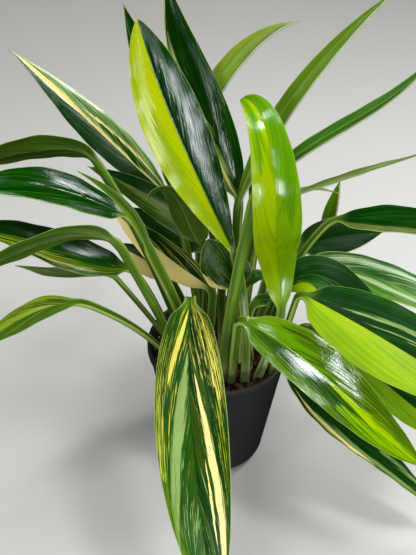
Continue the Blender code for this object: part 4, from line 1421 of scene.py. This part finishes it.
@dataclass
class Stems:
    """The short stems between the stalks."""

    radius: float = 4.5
    bulge: float = 0.8
    depth: float = 11.0

    def finish(self) -> Material:
        """Green, ringed stem with pale scars."""
        graph = Graph("stem_ringed")
        place = graph.place()
        x, y, z = graph.parts(place)
        ring = graph.noise(graph.vector(x / 8, y / 8, z * 0.9), detail=3)
        fleck = graph.noise(place, 0.9, 4, 0.65)
        colour = graph.mix(graph.smooth(ring, 0.4, 0.62), Hue.MOSS, Hue.STALK)
        colour = graph.mix(graph.smooth(fleck, 0.58, 0.7) * 0.7, colour, Hue.STRAW)
        colour = graph.mix(graph.smooth(z, SOIL_TOP, SOIL_TOP + 6), Hue.SHEATH, colour)
        return graph.finish(colour, 0.45 + fleck * 0.2, ring * 0.4 + fleck * 0.2)

    def build(self) -> None:
        """Make each stem and hand it over."""
        finish = self.finish()
        for crown in CROWNS:
            top = crown.height
            line = [(self.radius * share, top + rise)
                    for share, rise in ((0, 2.0), (0.3, 1.9), (0.6, 1.4), (0.85, 0.7), (1, -0.2))]
            for share in (0.7, 0.35):
                for step, out in ((1.6, 0.0), (0.8, 0.55), (0.2, 1.0), (-0.2, 0.8), (-0.6, 0.1), (-1.6, 0.0)):
                    line.append((self.radius + self.bulge * out, top * share + step))
            line += [(self.radius, -self.depth + 1), (self.radius - 1, -self.depth), (0.0, -self.depth)]
            made = spun(line, 36, (*crown.place, SOIL_TOP))
            hand_over(show(crown.name.replace("crown", "stem"), made, finish, sharp=50), "stem_green",
                      crown.name)


@dataclass
class Softbox:
    """One soft rectangular light, placed by the direction that it shines from."""

    name: str
    azimuth: float
    elevation: float
    size: tuple[float, float]
    power: float
    distance: float = 1.1
    target: Triple = (0, -20, 260)
    mirrored: bool = True

    def build(self) -> None:
        """Add the light, turned to its target."""
        azimuth, elevation = math.radians(self.azimuth), math.radians(self.elevation)
        heading = Vector((math.cos(elevation) * math.sin(azimuth), -math.cos(elevation) * math.cos(azimuth),
                          math.sin(elevation)))
        lamp = bpy.data.lights.new(self.name, "AREA")
        lamp.shape = "RECTANGLE"
        lamp.size, lamp.size_y = self.size
        lamp.energy = self.power
        lamp.color = (0.93, 0.97, 1.0) if self.mirrored else (1.0, 0.98, 0.92)
        piece = bpy.data.objects.new(self.name, lamp)
        piece.location = Vector(self.target) * MM + heading * self.distance
        piece.rotation_euler = heading.to_track_quat("Z", "Y").to_euler()
        piece.visible_camera = False
        piece.visible_glossy = self.mirrored
        bpy.context.scene.collection.objects.link(piece)


@dataclass
class Studio:
    """The pale floor, the soft light and the camera."""

    floor_radius: float = 3.0
    sky: float = 0.42
    elevation: float = 39.4
    roll: float = 1.5
    distance: float = 700.0
    target: Triple = (-11.0, 0.0, 209.0)
    lens: float = 52.86
    lamps: tuple[Softbox, ...] = (
        Softbox("overhead_fill", 70, 62, (1.1, 1.1), 6.5, distance=1.5, mirrored=False),
        Softbox("key_back_right", 124, 44, (0.20, 0.50), 7.5),
        Softbox("front_right", 54, 59, (0.15, 0.26), 4.6),
        Softbox("front_left", -45, 62, (0.11, 0.46), 3.8),
        Softbox("front_level", -13, 4, (0.06, 0.36), 1.4),
        Softbox("low_front", 7, -32, (0.09, 0.11), 0.6, distance=0.5, target=(-20, -15, 380)),
    )

    def floor(self) -> None:
        """A wide pale floor under the pot."""
        graph = Graph("floor_pale")
        patch = graph.noise(graph.place(), 0.002, 3)
        fine = graph.noise(graph.place(), 0.2, 3)
        colour = graph.tone(Hue.FLOOR, 0.97 + patch * 0.06)
        material = graph.finish(colour, 0.6 + patch * 0.1, fine * 0.02, specular=0.3)
        made = bmesh.new()
        bmesh.ops.create_circle(made, cap_ends=True, segments=128, radius=self.floor_radius)
        floor = show("studio_floor", made, material, sharp=30)
        floor.visible_glossy = False
        floor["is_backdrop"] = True

    def light(self) -> None:
        """A dim pale sky and the softboxes."""
        world = bpy.data.worlds.new("studio")
        world.use_nodes = True
        sky = world.node_tree.nodes["Background"].inputs
        sky["Color"].default_value = (1.0, 0.99, 0.96, 1.0)
        sky["Strength"].default_value = self.sky
        world.cycles_visibility.glossy = False
        bpy.context.scene.world = world
        bpy.context.scene.view_settings.view_transform = "Standard"
        for lamp in self.lamps:
            lamp.build()

    def camera(self) -> None:
        """The camera at the photograph's angle."""
        lens = bpy.data.cameras.new("camera")
        lens.lens = self.lens
        lens.clip_start = 0.01
        piece = bpy.data.objects.new("camera", lens)
        tilt = math.radians(self.elevation)
        back = Vector((0, -math.cos(tilt), math.sin(tilt)))
        turn = Matrix.Rotation(math.radians(90 - self.elevation), 4, "X") @ Matrix.Rotation(
            math.radians(self.roll), 4, "Z")
        piece.matrix_world = Matrix.Translation((Vector(self.target) + back * self.distance) * MM) @ turn
        bpy.context.scene.collection.objects.link(piece)
        bpy.context.scene.camera = piece

    def build(self) -> None:
        """Set up floor, light and camera."""
        self.floor()
        self.light()
        self.camera()


def main() -> None:
    """Build the plant and its studio."""
    logging.basicConfig(level=logging.INFO, format="%(name)s: %(message)s")
    Studio().build()
    Pot().build()
    Soil().build()
    Stems().build()
    Foliage().build()
    boxes = {"cad": CAD_BOX, "visual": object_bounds()}
    plain = {name: [[float(part) for part in corner] for corner in box] for name, box in boxes.items()}
    log.info("sizes: %s", plain)


if __name__ == "__main__":
    main()
